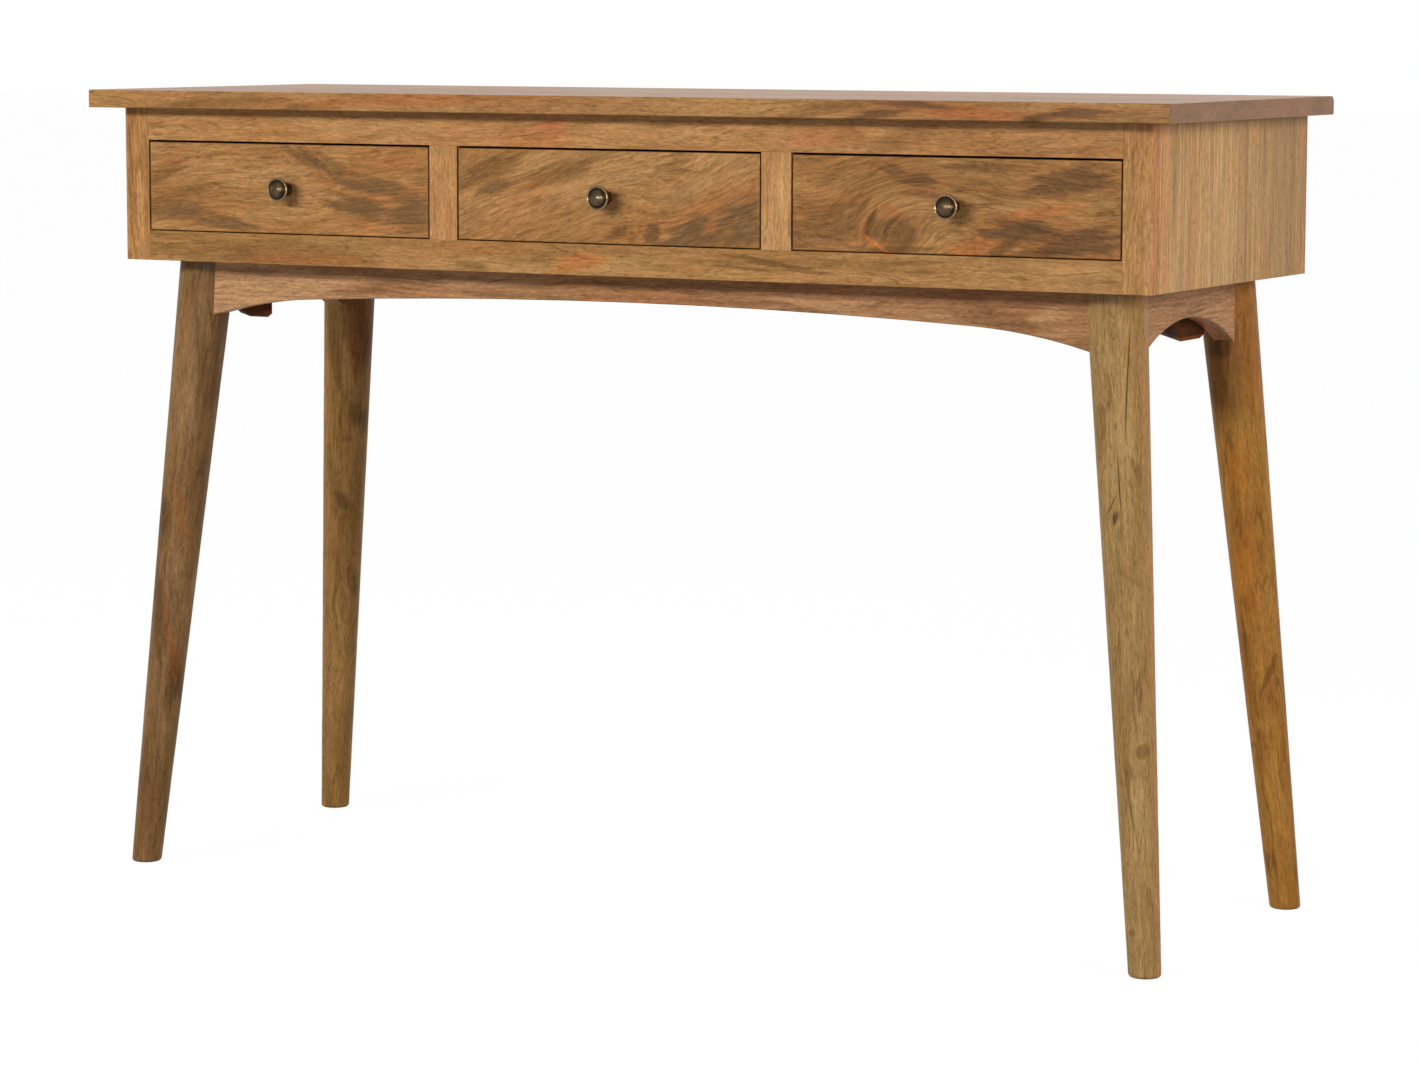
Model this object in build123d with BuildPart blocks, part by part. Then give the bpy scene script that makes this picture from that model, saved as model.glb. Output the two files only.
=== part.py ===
from build123d import *
import os
from math import radians, tan

# Writing desk: three inset drawers in a framed case, on four splayed round legs with arched aprons.
# Millimetres, +Z up, +X to the sitter's right, +Y to the back.
# The origin is on the floor, under the centre of the desk top.

os.makedirs("parts", exist_ok=True)

# Desk top
TOP_LENGTH = 1125.0
TOP_DEPTH = 390.0
TOP_THICKNESS = 17.0
DESK_HEIGHT = 760.0
TOP_BACK_ROUND = 6.5
EDGE_EASE = 0.8

# Case under the top
SIDE_OVERHANG = 25.0
FRONT_OVERHANG = 25.0
CASE_HEIGHT = 147.0
PANEL_THICKNESS = 20.0
FACE_THICKNESS = 16.0
STILE_WIDTH = 27.5
DIVIDER_WIDTH = 30.0
TOP_RAIL_HEIGHT = 31.0
BOTTOM_RAIL_HEIGHT = 28.5
BACK_THICKNESS = 12.0
BACK_RABBET = 10.0
BOTTOM_THICKNESS = 12.0
PARTITION_THICKNESS = 18.0
KICKER_WIDTH = 30.0

# Mortise and tenon joints of the face frame
TENON_LENGTH = 12.0
TENON_THICKNESS = 8.0
TENON_SHOULDER = 6.0

# Drawers
DRAWER_SIDE_GAP = 1.5
DRAWER_TOP_GAP = 2.0
DRAWER_BOTTOM_GAP = 1.0
DRAWER_FRONT_THICKNESS = 16.0
FRONT_LAP = 7.0
BOX_INSET = 1.5
BOX_SIDE_THICKNESS = 12.0
BOX_SIDE_HEIGHT = 76.0
BOX_BACK_THICKNESS = 12.0
BOX_BACK_LAP = 5.0
BOX_BOTTOM_THICKNESS = 5.0
GROOVE_HEIGHT = 8.0
GROOVE_DEPTH = 5.0
GROOVE_CLEARANCE = 0.2

# Wooden runners, and the blocks that stop the drawers flush with the face frame
RUNNER_LEDGE = 16.0
GUIDE_CLEARANCE = 0.5
RUNNER_CLEARANCE = 0.3
GUIDE_HEIGHT = 22.0
STOP_THICKNESS = 18.0
STOP_CLEARANCE = 0.3
STOP_WIDTH = 40.0
STOP_HEIGHT = 36.0

# Knobs, turned about their own axis, and their machine screws
KNOB_FOOT_RADIUS = 8.0
KNOB_FOOT_THICKNESS = 2.0
KNOB_NECK_RADIUS = 4.5
KNOB_RIM_RADIUS = 11.5
KNOB_RIM_THICKNESS = 2.6
KNOB_DOME_RADIUS = 8.6
KNOB_DOME_HEIGHT = 4.4
KNOB_STEP = 0.9
KNOB_STEM = 13.0
KNOB_SCREW_RADIUS = 2.0
KNOB_SCREW_BITE = 9.0
KNOB_SCREW_HEAD_RADIUS = 4.2
KNOB_SCREW_HEAD_HEIGHT = 2.6
KNOB_SCREW_HEAD_ROUND = 1.2

# Legs
LEG_TOP_RADIUS = 27.0
LEG_FOOT_RADIUS = 14.5
LEG_SETBACK = 17.5
LEG_SPLAY_SIDEWAYS = 5.12
LEG_SPLAY_ENDWAYS = 4.05
FOOT_ROUND = 3.0

# Aprons and their arches
FRAME_INSET = 39.0
APRON_THICKNESS = 20.0
APRON_WIDTH = 60.0
LONG_CROWN_WIDTH = 26.5
LONG_KNEE_WIDTH = 35.5
LONG_ARCH_RUN = 133.0
SIDE_APRON_WIDTH = 70.0
SIDE_CROWN_WIDTH = 31.0
SIDE_ARCH_LAND = 6.0

# Corner blocks, each clamping a leg with a hanger bolt and a flange nut in a spot-faced pocket
BLOCK_DEEP = 56.0
BLOCK_SHALLOW = 47.0
BLOCK_NEAR = 40.0
BLOCK_FAR_LONG = 70.0
BLOCK_FAR_SIDE = 100.0
BLOCK_WEB = 18.0
BLOCK_CLIP = 4.0
BLOCK_SCREW_INSET = 10.0
POCKET_RADIUS = 10.5
BOLT_RADIUS = 4.0
BOLT_LENGTH = 65.0
BOLT_STICK_OUT = 5.0
BOLT_DROP = 30.0
BOLT_LEG_CLEARANCE = 0.1
BOLT_BLOCK_CLEARANCE = 0.5
NUT_ACROSS_FLATS = 13.0
NUT_HEIGHT = 8.0
NUT_FLANGE_RADIUS = 9.0
NUT_FLANGE_THICKNESS = 2.0
NUT_CLEARANCE = 0.1

# Countersunk wood screws
SCREW_RADIUS = 2.0
SCREW_LENGTH = 30.0
SCREW_HEAD_RADIUS = 4.0
SCREW_HEAD_HEIGHT = 2.4
SCREW_POINT_LENGTH = 5.0
SCREW_POINT_RADIUS = 0.4
SCREW_TOP_BITE = 11.0
SCREW_BORE_RADIUS = 5.0
KICKER_SCREW_INSET = 70.0
APRON_SCREW_SPACING = 500.0

# Planes and lengths that the pieces share
case_length = TOP_LENGTH - 2 * SIDE_OVERHANG
case_front = FRONT_OVERHANG - TOP_DEPTH / 2
case_back = TOP_DEPTH / 2
case_depth = case_back - case_front
case_middle = (case_front + case_back) / 2
case_top = DESK_HEIGHT - TOP_THICKNESS
case_base = case_top - CASE_HEIGHT
face_back = case_front + FACE_THICKNESS
back_face = case_back - BACK_THICKNESS
panel_face = case_length / 2 - PANEL_THICKNESS
floor_top = case_base + BOTTOM_THICKNESS

# Drawer openings in the face frame
BAYS = {"left": -1, "middle": 0, "right": 1}
opening_width = (case_length - 2 * STILE_WIDTH - 2 * DIVIDER_WIDTH) / len(BAYS)
opening_low = case_base + BOTTOM_RAIL_HEIGHT
opening_high = case_top - TOP_RAIL_HEIGHT
rail_length = case_length - 2 * STILE_WIDTH
bay_pitch = opening_width + DIVIDER_WIDTH
divider_offset = bay_pitch / 2

# Drawer boxes
front_width = opening_width - 2 * DRAWER_SIDE_GAP
drawer_low = opening_low + DRAWER_BOTTOM_GAP
front_high = opening_high - DRAWER_TOP_GAP
front_middle = (drawer_low + front_high) / 2
front_inside = case_front + DRAWER_FRONT_THICKNESS
box_half_width = front_width / 2 - BOX_INSET
box_inside = box_half_width - BOX_SIDE_THICKNESS
box_start = case_front + FRONT_LAP
box_end = back_face - STOP_THICKNESS - STOP_CLEARANCE
box_high = drawer_low + BOX_SIDE_HEIGHT
box_back_face = box_end - BOX_BACK_THICKNESS
groove_low = drawer_low + GROOVE_HEIGHT
groove_high = groove_low + BOX_BOTTOM_THICKNESS + 2 * GROOVE_CLEARANCE

# Leg frame
apron_low = case_base - APRON_WIDTH
apron_face_x = case_length / 2 - FRAME_INSET
apron_face_y = case_depth / 2 - FRAME_INSET
lean_x = tan(radians(LEG_SPLAY_SIDEWAYS))
lean_y = tan(radians(LEG_SPLAY_ENDWAYS))
CORNERS = {
    "front_left": (-1, -1),
    "front_right": (1, -1),
    "rear_left": (-1, 1),
    "rear_right": (1, 1),
}


def save(piece: Part, node: str) -> None:
    """Label a finished piece with its node's name and write it."""
    piece.label = node
    export_step(piece, f"parts/{node}.step")


def middle_and_size(low: tuple, high: tuple) -> tuple[Vector, Vector]:
    """Centre and edge lengths of the block between two opposite corners."""
    return (Vector(*low) + Vector(*high)) / 2, Vector(*high) - Vector(*low)


def board(low: tuple, high: tuple, tenons: list = (), mortises: list = (), screws: Part = None) -> Part:
    """Square board between two corners, with blocks added as tenons or cut out as mortises and screw holes."""
    centre, size = middle_and_size(low, high)
    with BuildPart() as blank:
        with BuildSketch(Plane.XY.offset(low[2])):
            with Locations((centre.X, centre.Y)):
                Rectangle(size.X, size.Y)
        extrude(amount=size.Z)
        for block_low, block_high in tenons:
            block_centre, block_size = middle_and_size(block_low, block_high)
            with Locations(block_centre):
                Box(block_size.X, block_size.Y, block_size.Z)
        for block_low, block_high in mortises:
            block_centre, block_size = middle_and_size(block_low, block_high)
            with Locations(block_centre):
                Box(block_size.X, block_size.Y, block_size.Z, mode=Mode.SUBTRACT)
        if screws is not None:
            add(screws, mode=Mode.SUBTRACT)
    return blank.part


# Fasteners come first, because the boards are drilled with them.
def wood_screw(seat: tuple, down: bool) -> Part:
    """Countersunk screw whose head is flush with its seat, pointing down or up."""
    pointing = Plane(origin=seat, x_dir=(1, 0, 0), z_dir=(0, 1 if down else -1, 0))
    with BuildPart() as screw:
        with BuildSketch(pointing):
            with BuildLine():
                Polyline(
                    (0, 0),
                    (SCREW_HEAD_RADIUS, 0),
                    (SCREW_RADIUS, SCREW_HEAD_HEIGHT),
                    (SCREW_RADIUS, SCREW_LENGTH - SCREW_POINT_LENGTH),
                    (SCREW_POINT_RADIUS, SCREW_LENGTH),
                    (0, SCREW_LENGTH),
                    close=True,
                )
            make_face()
        revolve(axis=Axis(seat, pointing.y_dir))
    return screw.part


def leg_axis(corner: tuple, height: float) -> Vector:
    """Point on a leg's centre line at a height above the floor."""
    drop = case_base - height
    out_x = apron_face_x - LEG_SETBACK + drop * lean_x
    out_y = apron_face_y - LEG_SETBACK + drop * lean_y
    return Vector(corner[0] * out_x, case_middle + corner[1] * out_y, height)


def block_point(corner: tuple, depth: float, height: float) -> Vector:
    """Point on a corner block's diagonal, at a depth behind the face that looks at its leg."""
    outward = Vector(corner[0], corner[1], 0).normalized()
    reach_x = apron_face_x - APRON_THICKNESS - BLOCK_NEAR / 2
    reach_y = apron_face_y - APRON_THICKNESS - BLOCK_NEAR / 2
    near_face = Vector(corner[0] * reach_x, case_middle + corner[1] * reach_y, height)
    return near_face - outward * depth


def bolt_plane(corner: tuple) -> Plane:
    """Plane of the nut's seat in a corner block, with its normal pointing at the leg."""
    seat = block_point(corner, BLOCK_WEB, case_base - BOLT_DROP)
    return Plane(origin=seat, x_dir=(0, 0, 1), z_dir=(corner[0], corner[1], 0))


def bolt_start(corner: tuple) -> Plane:
    """Plane at the free end of the hanger bolt, past its nut."""
    return bolt_plane(corner).offset(-NUT_HEIGHT - BOLT_STICK_OUT)


block_screw_seats = []
for corner in CORNERS.values():
    block_screw_seats.append(tuple(block_point(corner, BLOCK_SCREW_INSET, floor_top)))

apron_screw_seats = []
for side in (-1, 1):
    seat_y = case_middle + side * (apron_face_y - APRON_THICKNESS / 2)
    for end in (-1, 1):
        apron_screw_seats.append((end * APRON_SCREW_SPACING / 2, seat_y, floor_top))

kicker_seat_height = case_top + SCREW_TOP_BITE - SCREW_LENGTH
kicker_screw_seats = {}
for bay, step in BAYS.items():
    kicker_screw_seats[bay] = [
        (step * bay_pitch, face_back + KICKER_SCREW_INSET, kicker_seat_height),
        (step * bay_pitch, back_face - KICKER_SCREW_INSET, kicker_seat_height),
    ]

with BuildPart() as wood_screws:
    for seat in block_screw_seats + apron_screw_seats:
        add(wood_screw(seat, down=True))
    for seats in kicker_screw_seats.values():
        for seat in seats:
            add(wood_screw(seat, down=False))
save(wood_screws.part, "wood_screws")

with BuildPart() as hanger_bolts:
    for corner in CORNERS.values():
        with BuildSketch(bolt_start(corner)):
            Circle(BOLT_RADIUS)
        extrude(amount=BOLT_LENGTH)
save(hanger_bolts.part, "hanger_bolts")

with BuildPart() as flange_nuts:
    for corner in CORNERS.values():
        with BuildSketch(bolt_plane(corner)):
            Circle(NUT_FLANGE_RADIUS)
            Circle(BOLT_RADIUS + NUT_CLEARANCE, mode=Mode.SUBTRACT)
        extrude(amount=-NUT_FLANGE_THICKNESS)
        with BuildSketch(bolt_plane(corner).offset(-NUT_FLANGE_THICKNESS)):
            RegularPolygon(NUT_ACROSS_FLATS / 2, 6, major_radius=False)
            Circle(BOLT_RADIUS + NUT_CLEARANCE, mode=Mode.SUBTRACT)
        extrude(amount=NUT_FLANGE_THICKNESS - NUT_HEIGHT)
save(flange_nuts.part, "flange_nuts")


# Desk top, with its rear upper edge rounded over
with BuildPart() as desk_top:
    with BuildSketch(Plane.XY.offset(case_top)):
        Rectangle(TOP_LENGTH, TOP_DEPTH)
    extrude(amount=TOP_THICKNESS)
    upper_edges = desk_top.faces().sort_by(Axis.Z)[-1].edges()
    fillet(upper_edges.sort_by(Axis.Y)[-1], TOP_BACK_ROUND)
    chamfer(desk_top.edges().filter_by(GeomType.LINE).group_by(Axis.Y)[0], EDGE_EASE)
    add(wood_screws.part, mode=Mode.SUBTRACT)
save(desk_top.part, "desk_top")


# Face frame: stiles, rails and dividers
tenon_front = case_front + (FACE_THICKNESS - TENON_THICKNESS) / 2
tenon_back = tenon_front + TENON_THICKNESS


def rail_tenons(low: float, high: float) -> list:
    """The stub tenons on both ends of a rail that lies between two heights."""
    blocks = []
    for end in (-1, 1):
        root = end * rail_length / 2
        tip = end * (rail_length / 2 + TENON_LENGTH)
        blocks.append(
            (
                (min(root, tip), tenon_front, low + TENON_SHOULDER),
                (max(root, tip), tenon_back, high - TENON_SHOULDER),
            )
        )
    return blocks


def divider_tenons(side: int) -> list:
    """The stub tenons on the lower and upper end of a divider."""
    left = side * divider_offset - DIVIDER_WIDTH / 2 + TENON_SHOULDER
    right = side * divider_offset + DIVIDER_WIDTH / 2 - TENON_SHOULDER
    return [
        ((left, tenon_front, opening_low - TENON_LENGTH), (right, tenon_back, opening_low)),
        ((left, tenon_front, opening_high), (right, tenon_back, opening_high + TENON_LENGTH)),
    ]


bottom_rail_tenons = rail_tenons(case_base, opening_low)
top_rail_tenons = rail_tenons(opening_high, case_top)
divider_mortises = divider_tenons(-1) + divider_tenons(1)

for name, side in {"left_stile": -1, "right_stile": 1}.items():
    inner, outer = sorted((side * rail_length / 2, side * case_length / 2))
    mortises = bottom_rail_tenons + top_rail_tenons
    with BuildPart() as stile:
        add(board((inner, case_front, case_base), (outer, face_back, case_top), mortises=mortises))
        front_arrises = stile.edges().filter_by(Axis.Z).group_by(Axis.Y)[0].sort_by(Axis.X)
        chamfer(front_arrises[-1 if side > 0 else 0], EDGE_EASE)
    save(stile.part, name)

save(
    board(
        (-rail_length / 2, case_front, case_base),
        (rail_length / 2, face_back, opening_low),
        tenons=bottom_rail_tenons,
        mortises=divider_mortises,
    ),
    "bottom_rail",
)
save(
    board(
        (-rail_length / 2, case_front, opening_high),
        (rail_length / 2, face_back, case_top),
        tenons=top_rail_tenons,
        mortises=divider_mortises,
    ),
    "top_rail",
)
for name, side in {"left_divider": -1, "right_divider": 1}.items():
    save(
        board(
            (side * divider_offset - DIVIDER_WIDTH / 2, case_front, opening_low),
            (side * divider_offset + DIVIDER_WIDTH / 2, face_back, opening_high),
            tenons=divider_tenons(side),
        ),
        name,
    )


# Case: side panels with a rabbet for the back, back panel, bottom board and partitions
back_half_length = panel_face + BACK_RABBET
back_block = ((-back_half_length, back_face, case_base), (back_half_length, case_back, case_top))

for name, side in {"left_side_panel": -1, "right_side_panel": 1}.items():
    inner, outer = sorted((side * panel_face, side * case_length / 2))
    with BuildPart() as panel:
        add(board((inner, face_back, case_base), (outer, case_back, case_top), mortises=[back_block]))
        rear_arrises = panel.edges().filter_by(Axis.Z).group_by(Axis.Y)[-1].sort_by(Axis.X)
        chamfer(rear_arrises[-1 if side > 0 else 0], EDGE_EASE)
    save(panel.part, name)

save(board(*back_block), "back_panel")
save(
    board(
        (-panel_face, face_back, case_base),
        (panel_face, back_face, floor_top),
        screws=wood_screws.part,
    ),
    "bottom_board",
)
for name, side in {"left_partition": -1, "right_partition": 1}.items():
    save(
        board(
            (side * divider_offset - PARTITION_THICKNESS / 2, face_back, floor_top),
            (side * divider_offset + PARTITION_THICKNESS / 2, back_face, case_top),
        ),
        name,
    )


# Kickers over the drawers, which keep them level and carry the screws of the desk top
for bay, step in BAYS.items():
    centre = step * bay_pitch
    with BuildPart() as kicker:
        with BuildSketch(Plane.XY.offset(opening_high)):
            with Locations((centre, (face_back + back_face) / 2)):
                Rectangle(KICKER_WIDTH, back_face - face_back)
        extrude(amount=TOP_RAIL_HEIGHT)
        with BuildSketch(Plane.XY.offset(opening_high)):
            with Locations([(seat[0], seat[1]) for seat in kicker_screw_seats[bay]]):
                Circle(SCREW_BORE_RADIUS)
        extrude(amount=kicker_seat_height - opening_high, mode=Mode.SUBTRACT)
        add(wood_screws.part, mode=Mode.SUBTRACT)
    save(kicker.part, f"{bay}_kicker")


# Runners: an L section whose ledge carries a drawer side and whose lip guides it
def bay_wall(step: int, side: int) -> float:
    """Face of the side panel or partition that closes a drawer's bay on one side."""
    if step == side:
        return side * panel_face
    return step * bay_pitch + side * (bay_pitch - PARTITION_THICKNESS) / 2


for bay, step in BAYS.items():
    for hand, side in {"left": -1, "right": 1}.items():
        centre = step * bay_pitch
        wall = bay_wall(step, side)
        guide = centre + side * (front_width / 2 + GUIDE_CLEARANCE)
        ledge_top = drawer_low - RUNNER_CLEARANCE
        ledge = centre + side * (box_half_width - RUNNER_LEDGE)
        with BuildPart() as runner:
            with BuildSketch(Plane.XZ.offset(-back_face)):
                with BuildLine():
                    Polyline(
                        (wall, floor_top),
                        (wall, drawer_low + GUIDE_HEIGHT),
                        (guide, drawer_low + GUIDE_HEIGHT),
                        (guide, ledge_top),
                        (ledge, ledge_top),
                        (ledge, floor_top),
                        close=True,
                    )
                make_face()
            extrude(amount=back_face - face_back)
        save(runner.part, f"{bay}_drawer_{hand}_runner")

with BuildPart() as drawer_stops:
    with BuildSketch(Plane.XZ.offset(-back_face)):
        with Locations([(step * bay_pitch, front_middle) for step in BAYS.values()]):
            Rectangle(STOP_WIDTH, STOP_HEIGHT)
    extrude(amount=STOP_THICKNESS)
save(drawer_stops.part, "drawer_stops")


# Drawers: a front lapped over the sides, a back let into them and a thin bottom held in grooves
def drawer_bottom_block(centre: float, clearance: float) -> tuple:
    """Corners of a drawer's bottom, grown or shrunk into its grooves by a clearance."""
    half_width = box_inside + GROOVE_DEPTH - clearance
    return (
        (centre - half_width, front_inside - GROOVE_DEPTH + clearance, groove_low + clearance),
        (centre + half_width, box_end - clearance, groove_high - clearance),
    )


def drawer_back_block(centre: float) -> tuple:
    """Corners of a drawer's back, which stands on the bottom between the two sides."""
    half_width = box_inside + BOX_BACK_LAP
    return (centre - half_width, box_back_face, groove_high), (centre + half_width, box_end, box_high)


def drawer_side_block(centre: float, side: int) -> tuple:
    """Corners of one drawer side, from the lap of the front to the back of the box."""
    inner, outer = sorted((centre + side * box_inside, centre + side * box_half_width))
    return (inner, box_start, drawer_low), (outer, box_end, box_high)


def knob_screw_plane(centre: float) -> Plane:
    """Plane on the inside of a drawer front, with its normal pointing out through the knob."""
    return Plane(origin=(centre, front_inside, front_middle), x_dir=(1, 0, 0), z_dir=(0, -1, 0))


def drawer_front(centre: float) -> Part:
    """Front board with eased edges, end laps for the sides, a groove and the knob's screw hole."""
    with BuildPart() as front:
        with BuildSketch(Plane.XZ.offset(-front_inside)):
            with Locations((centre, front_middle)):
                Rectangle(front_width, front_high - drawer_low)
        extrude(amount=DRAWER_FRONT_THICKNESS)
        chamfer(front.faces().sort_by(Axis.Y)[0].edges(), EDGE_EASE)
        for side in (-1, 1):
            lap_inner, lap_outer = sorted((centre + side * box_inside, centre + side * front_width))
            lap_centre, lap_size = middle_and_size(
                (lap_inner, box_start, drawer_low), (lap_outer, front_inside, front_high)
            )
            with Locations(lap_centre):
                Box(lap_size.X, lap_size.Y, lap_size.Z, mode=Mode.SUBTRACT)
        groove_centre, groove_size = middle_and_size(*drawer_bottom_block(centre, 0))
        with Locations(groove_centre):
            Box(groove_size.X, groove_size.Y, groove_size.Z, mode=Mode.SUBTRACT)
        with BuildSketch(knob_screw_plane(centre)):
            Circle(KNOB_SCREW_RADIUS)
        extrude(amount=DRAWER_FRONT_THICKNESS, mode=Mode.SUBTRACT)
    return front.part


def knob(centre: float) -> Part:
    """Turned knob: foot, waisted stem, rim and a domed button, with a blind hole for its screw."""
    face = Plane(origin=(centre, case_front, front_middle), x_dir=(1, 0, 0), z_dir=(0, 0, 1))
    rim_back = -KNOB_STEM
    rim_front = rim_back - KNOB_RIM_THICKNESS
    step_depth = rim_front + KNOB_STEP
    dome_tip = rim_front - KNOB_DOME_HEIGHT
    with BuildPart() as turned:
        with BuildSketch(face):
            with BuildLine():
                Polyline((0, 0), (KNOB_FOOT_RADIUS, 0), (KNOB_FOOT_RADIUS, -KNOB_FOOT_THICKNESS))
                ThreePointArc(
                    (KNOB_FOOT_RADIUS, -KNOB_FOOT_THICKNESS),
                    (KNOB_NECK_RADIUS, -(KNOB_FOOT_THICKNESS + KNOB_STEM) / 2),
                    (KNOB_RIM_RADIUS - KNOB_STEP, rim_back),
                )
                ThreePointArc(
                    (KNOB_RIM_RADIUS - KNOB_STEP, rim_back),
                    (KNOB_RIM_RADIUS, (rim_back + rim_front) / 2),
                    (KNOB_RIM_RADIUS - KNOB_STEP, rim_front),
                )
                Polyline(
                    (KNOB_RIM_RADIUS - KNOB_STEP, rim_front),
                    (KNOB_DOME_RADIUS + KNOB_STEP, rim_front),
                    (KNOB_DOME_RADIUS, step_depth),
                )
                EllipticalCenterArc(
                    (0, step_depth),
                    KNOB_DOME_RADIUS,
                    step_depth - dome_tip,
                    start_angle=270,
                    arc_size=90,
                )
                Line((0, dome_tip), (0, 0))
            make_face()
        revolve(axis=Axis((centre, case_front, front_middle), (0, -1, 0)))
        with BuildSketch(Plane(origin=(centre, case_front, front_middle), z_dir=(0, -1, 0))):
            Circle(KNOB_SCREW_RADIUS)
        extrude(amount=KNOB_SCREW_BITE, mode=Mode.SUBTRACT)
    return turned.part


def knob_screw(centre: float) -> Part:
    """Pan-headed machine screw from the inside of the drawer front into the knob."""
    with BuildPart() as screw:
        with BuildSketch(knob_screw_plane(centre)):
            Circle(KNOB_SCREW_RADIUS)
        extrude(amount=DRAWER_FRONT_THICKNESS + KNOB_SCREW_BITE)
        with BuildSketch(knob_screw_plane(centre)):
            Circle(KNOB_SCREW_HEAD_RADIUS)
        extrude(amount=-KNOB_SCREW_HEAD_HEIGHT)
        fillet(screw.faces().sort_by(Axis.Y)[-1].edges(), KNOB_SCREW_HEAD_ROUND)
    return screw.part


for bay, step in BAYS.items():
    centre = step * bay_pitch
    groove = drawer_bottom_block(centre, 0)
    back = drawer_back_block(centre)
    save(drawer_front(centre), f"{bay}_drawer_front")
    for hand, side in {"left": -1, "right": 1}.items():
        save(
            board(*drawer_side_block(centre, side), mortises=[groove, back]),
            f"{bay}_drawer_{hand}_side",
        )
    save(board(*back), f"{bay}_drawer_back")
    save(board(*drawer_bottom_block(centre, GROOVE_CLEARANCE)), f"{bay}_drawer_bottom")
    save(knob(centre), f"{bay}_knob")
    save(knob_screw(centre), f"{bay}_knob_screw")


# Legs: straight tapers, turned round, leaning out both ways and cut level at both ends
def leg_blank(corner: tuple) -> Part:
    """Splayed tapered leg before it is drilled."""
    foot = leg_axis(corner, 0)
    top = leg_axis(corner, case_base)
    length = (top - foot).length
    taper = (LEG_TOP_RADIUS - LEG_FOOT_RADIUS) / length
    spare = LEG_TOP_RADIUS
    lean = Plane(origin=foot, z_dir=top - foot).offset(-spare)
    with BuildPart(lean) as leg:
        Cone(
            bottom_radius=LEG_FOOT_RADIUS - taper * spare,
            top_radius=LEG_TOP_RADIUS + taper * spare,
            height=length + 2 * spare,
            align=(Align.CENTER, Align.CENTER, Align.MIN),
        )
        split(bisect_by=Plane.XY.offset(case_base), keep=Keep.BOTTOM)
        split(bisect_by=Plane.XY, keep=Keep.TOP)
        fillet(leg.faces().sort_by(Axis.Z)[0].edges(), FOOT_ROUND)
    return leg.part


leg_blanks = {name: leg_blank(corner) for name, corner in CORNERS.items()}

for name, corner in CORNERS.items():
    with BuildPart() as leg:
        add(leg_blanks[name])
        with BuildSketch(bolt_start(corner)):
            Circle(BOLT_RADIUS + BOLT_LEG_CLEARANCE)
        extrude(amount=BOLT_LENGTH, mode=Mode.SUBTRACT)
    save(leg.part, f"{name}_leg")


# Aprons, arched below, with their ends scribed to the round legs
half_drop = APRON_WIDTH / 2
long_end = leg_axis((1, 1), case_base - half_drop).X
side_end = leg_axis((1, 1), case_base - half_drop).Y - case_middle
long_knee = long_end - LONG_ARCH_RUN

for name, side in {"front_apron": -1, "rear_apron": 1}.items():
    outer_face = case_middle + side * apron_face_y
    rear_face = max(outer_face, outer_face - side * APRON_THICKNESS)
    with BuildPart() as apron:
        with BuildSketch(Plane.XZ.offset(-rear_face)):
            with BuildLine():
                crown = ThreePointArc(
                    (-long_knee, case_base - LONG_KNEE_WIDTH),
                    (0, case_base - LONG_CROWN_WIDTH),
                    (long_knee, case_base - LONG_KNEE_WIDTH),
                )
                TangentArc(crown @ 1, (long_end, apron_low), tangent=crown % 1)
                TangentArc(crown @ 0, (-long_end, apron_low), tangent=(crown % 0) * -1)
                Polyline(
                    (long_end, apron_low),
                    (long_end, case_base),
                    (-long_end, case_base),
                    (-long_end, apron_low),
                )
            make_face()
        extrude(amount=APRON_THICKNESS)
        chamfer(apron.edges().filter_by(GeomType.CIRCLE), EDGE_EASE)
        for blank in leg_blanks.values():
            add(blank, mode=Mode.SUBTRACT)
        add(wood_screws.part, mode=Mode.SUBTRACT)
    save(apron.part, name)

for name, side in {"left_apron": -1, "right_apron": 1}.items():
    outer_face = side * apron_face_x
    left_face = min(outer_face, outer_face - side * APRON_THICKNESS)
    arch_half = side_end - SIDE_ARCH_LAND
    side_low = case_base - SIDE_APRON_WIDTH
    with BuildPart() as apron:
        with BuildSketch(Plane.YZ.offset(left_face)):
            with BuildLine():
                ThreePointArc(
                    (case_middle - arch_half, side_low),
                    (case_middle, case_base - SIDE_CROWN_WIDTH),
                    (case_middle + arch_half, side_low),
                )
                Polyline(
                    (case_middle + arch_half, side_low),
                    (case_middle + side_end, side_low),
                    (case_middle + side_end, case_base),
                    (case_middle - side_end, case_base),
                    (case_middle - side_end, side_low),
                    (case_middle - arch_half, side_low),
                )
            make_face()
        extrude(amount=APRON_THICKNESS)
        chamfer(apron.edges().filter_by(GeomType.CIRCLE), EDGE_EASE)
        for blank in leg_blanks.values():
            add(blank, mode=Mode.SUBTRACT)
    save(apron.part, name)


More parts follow.
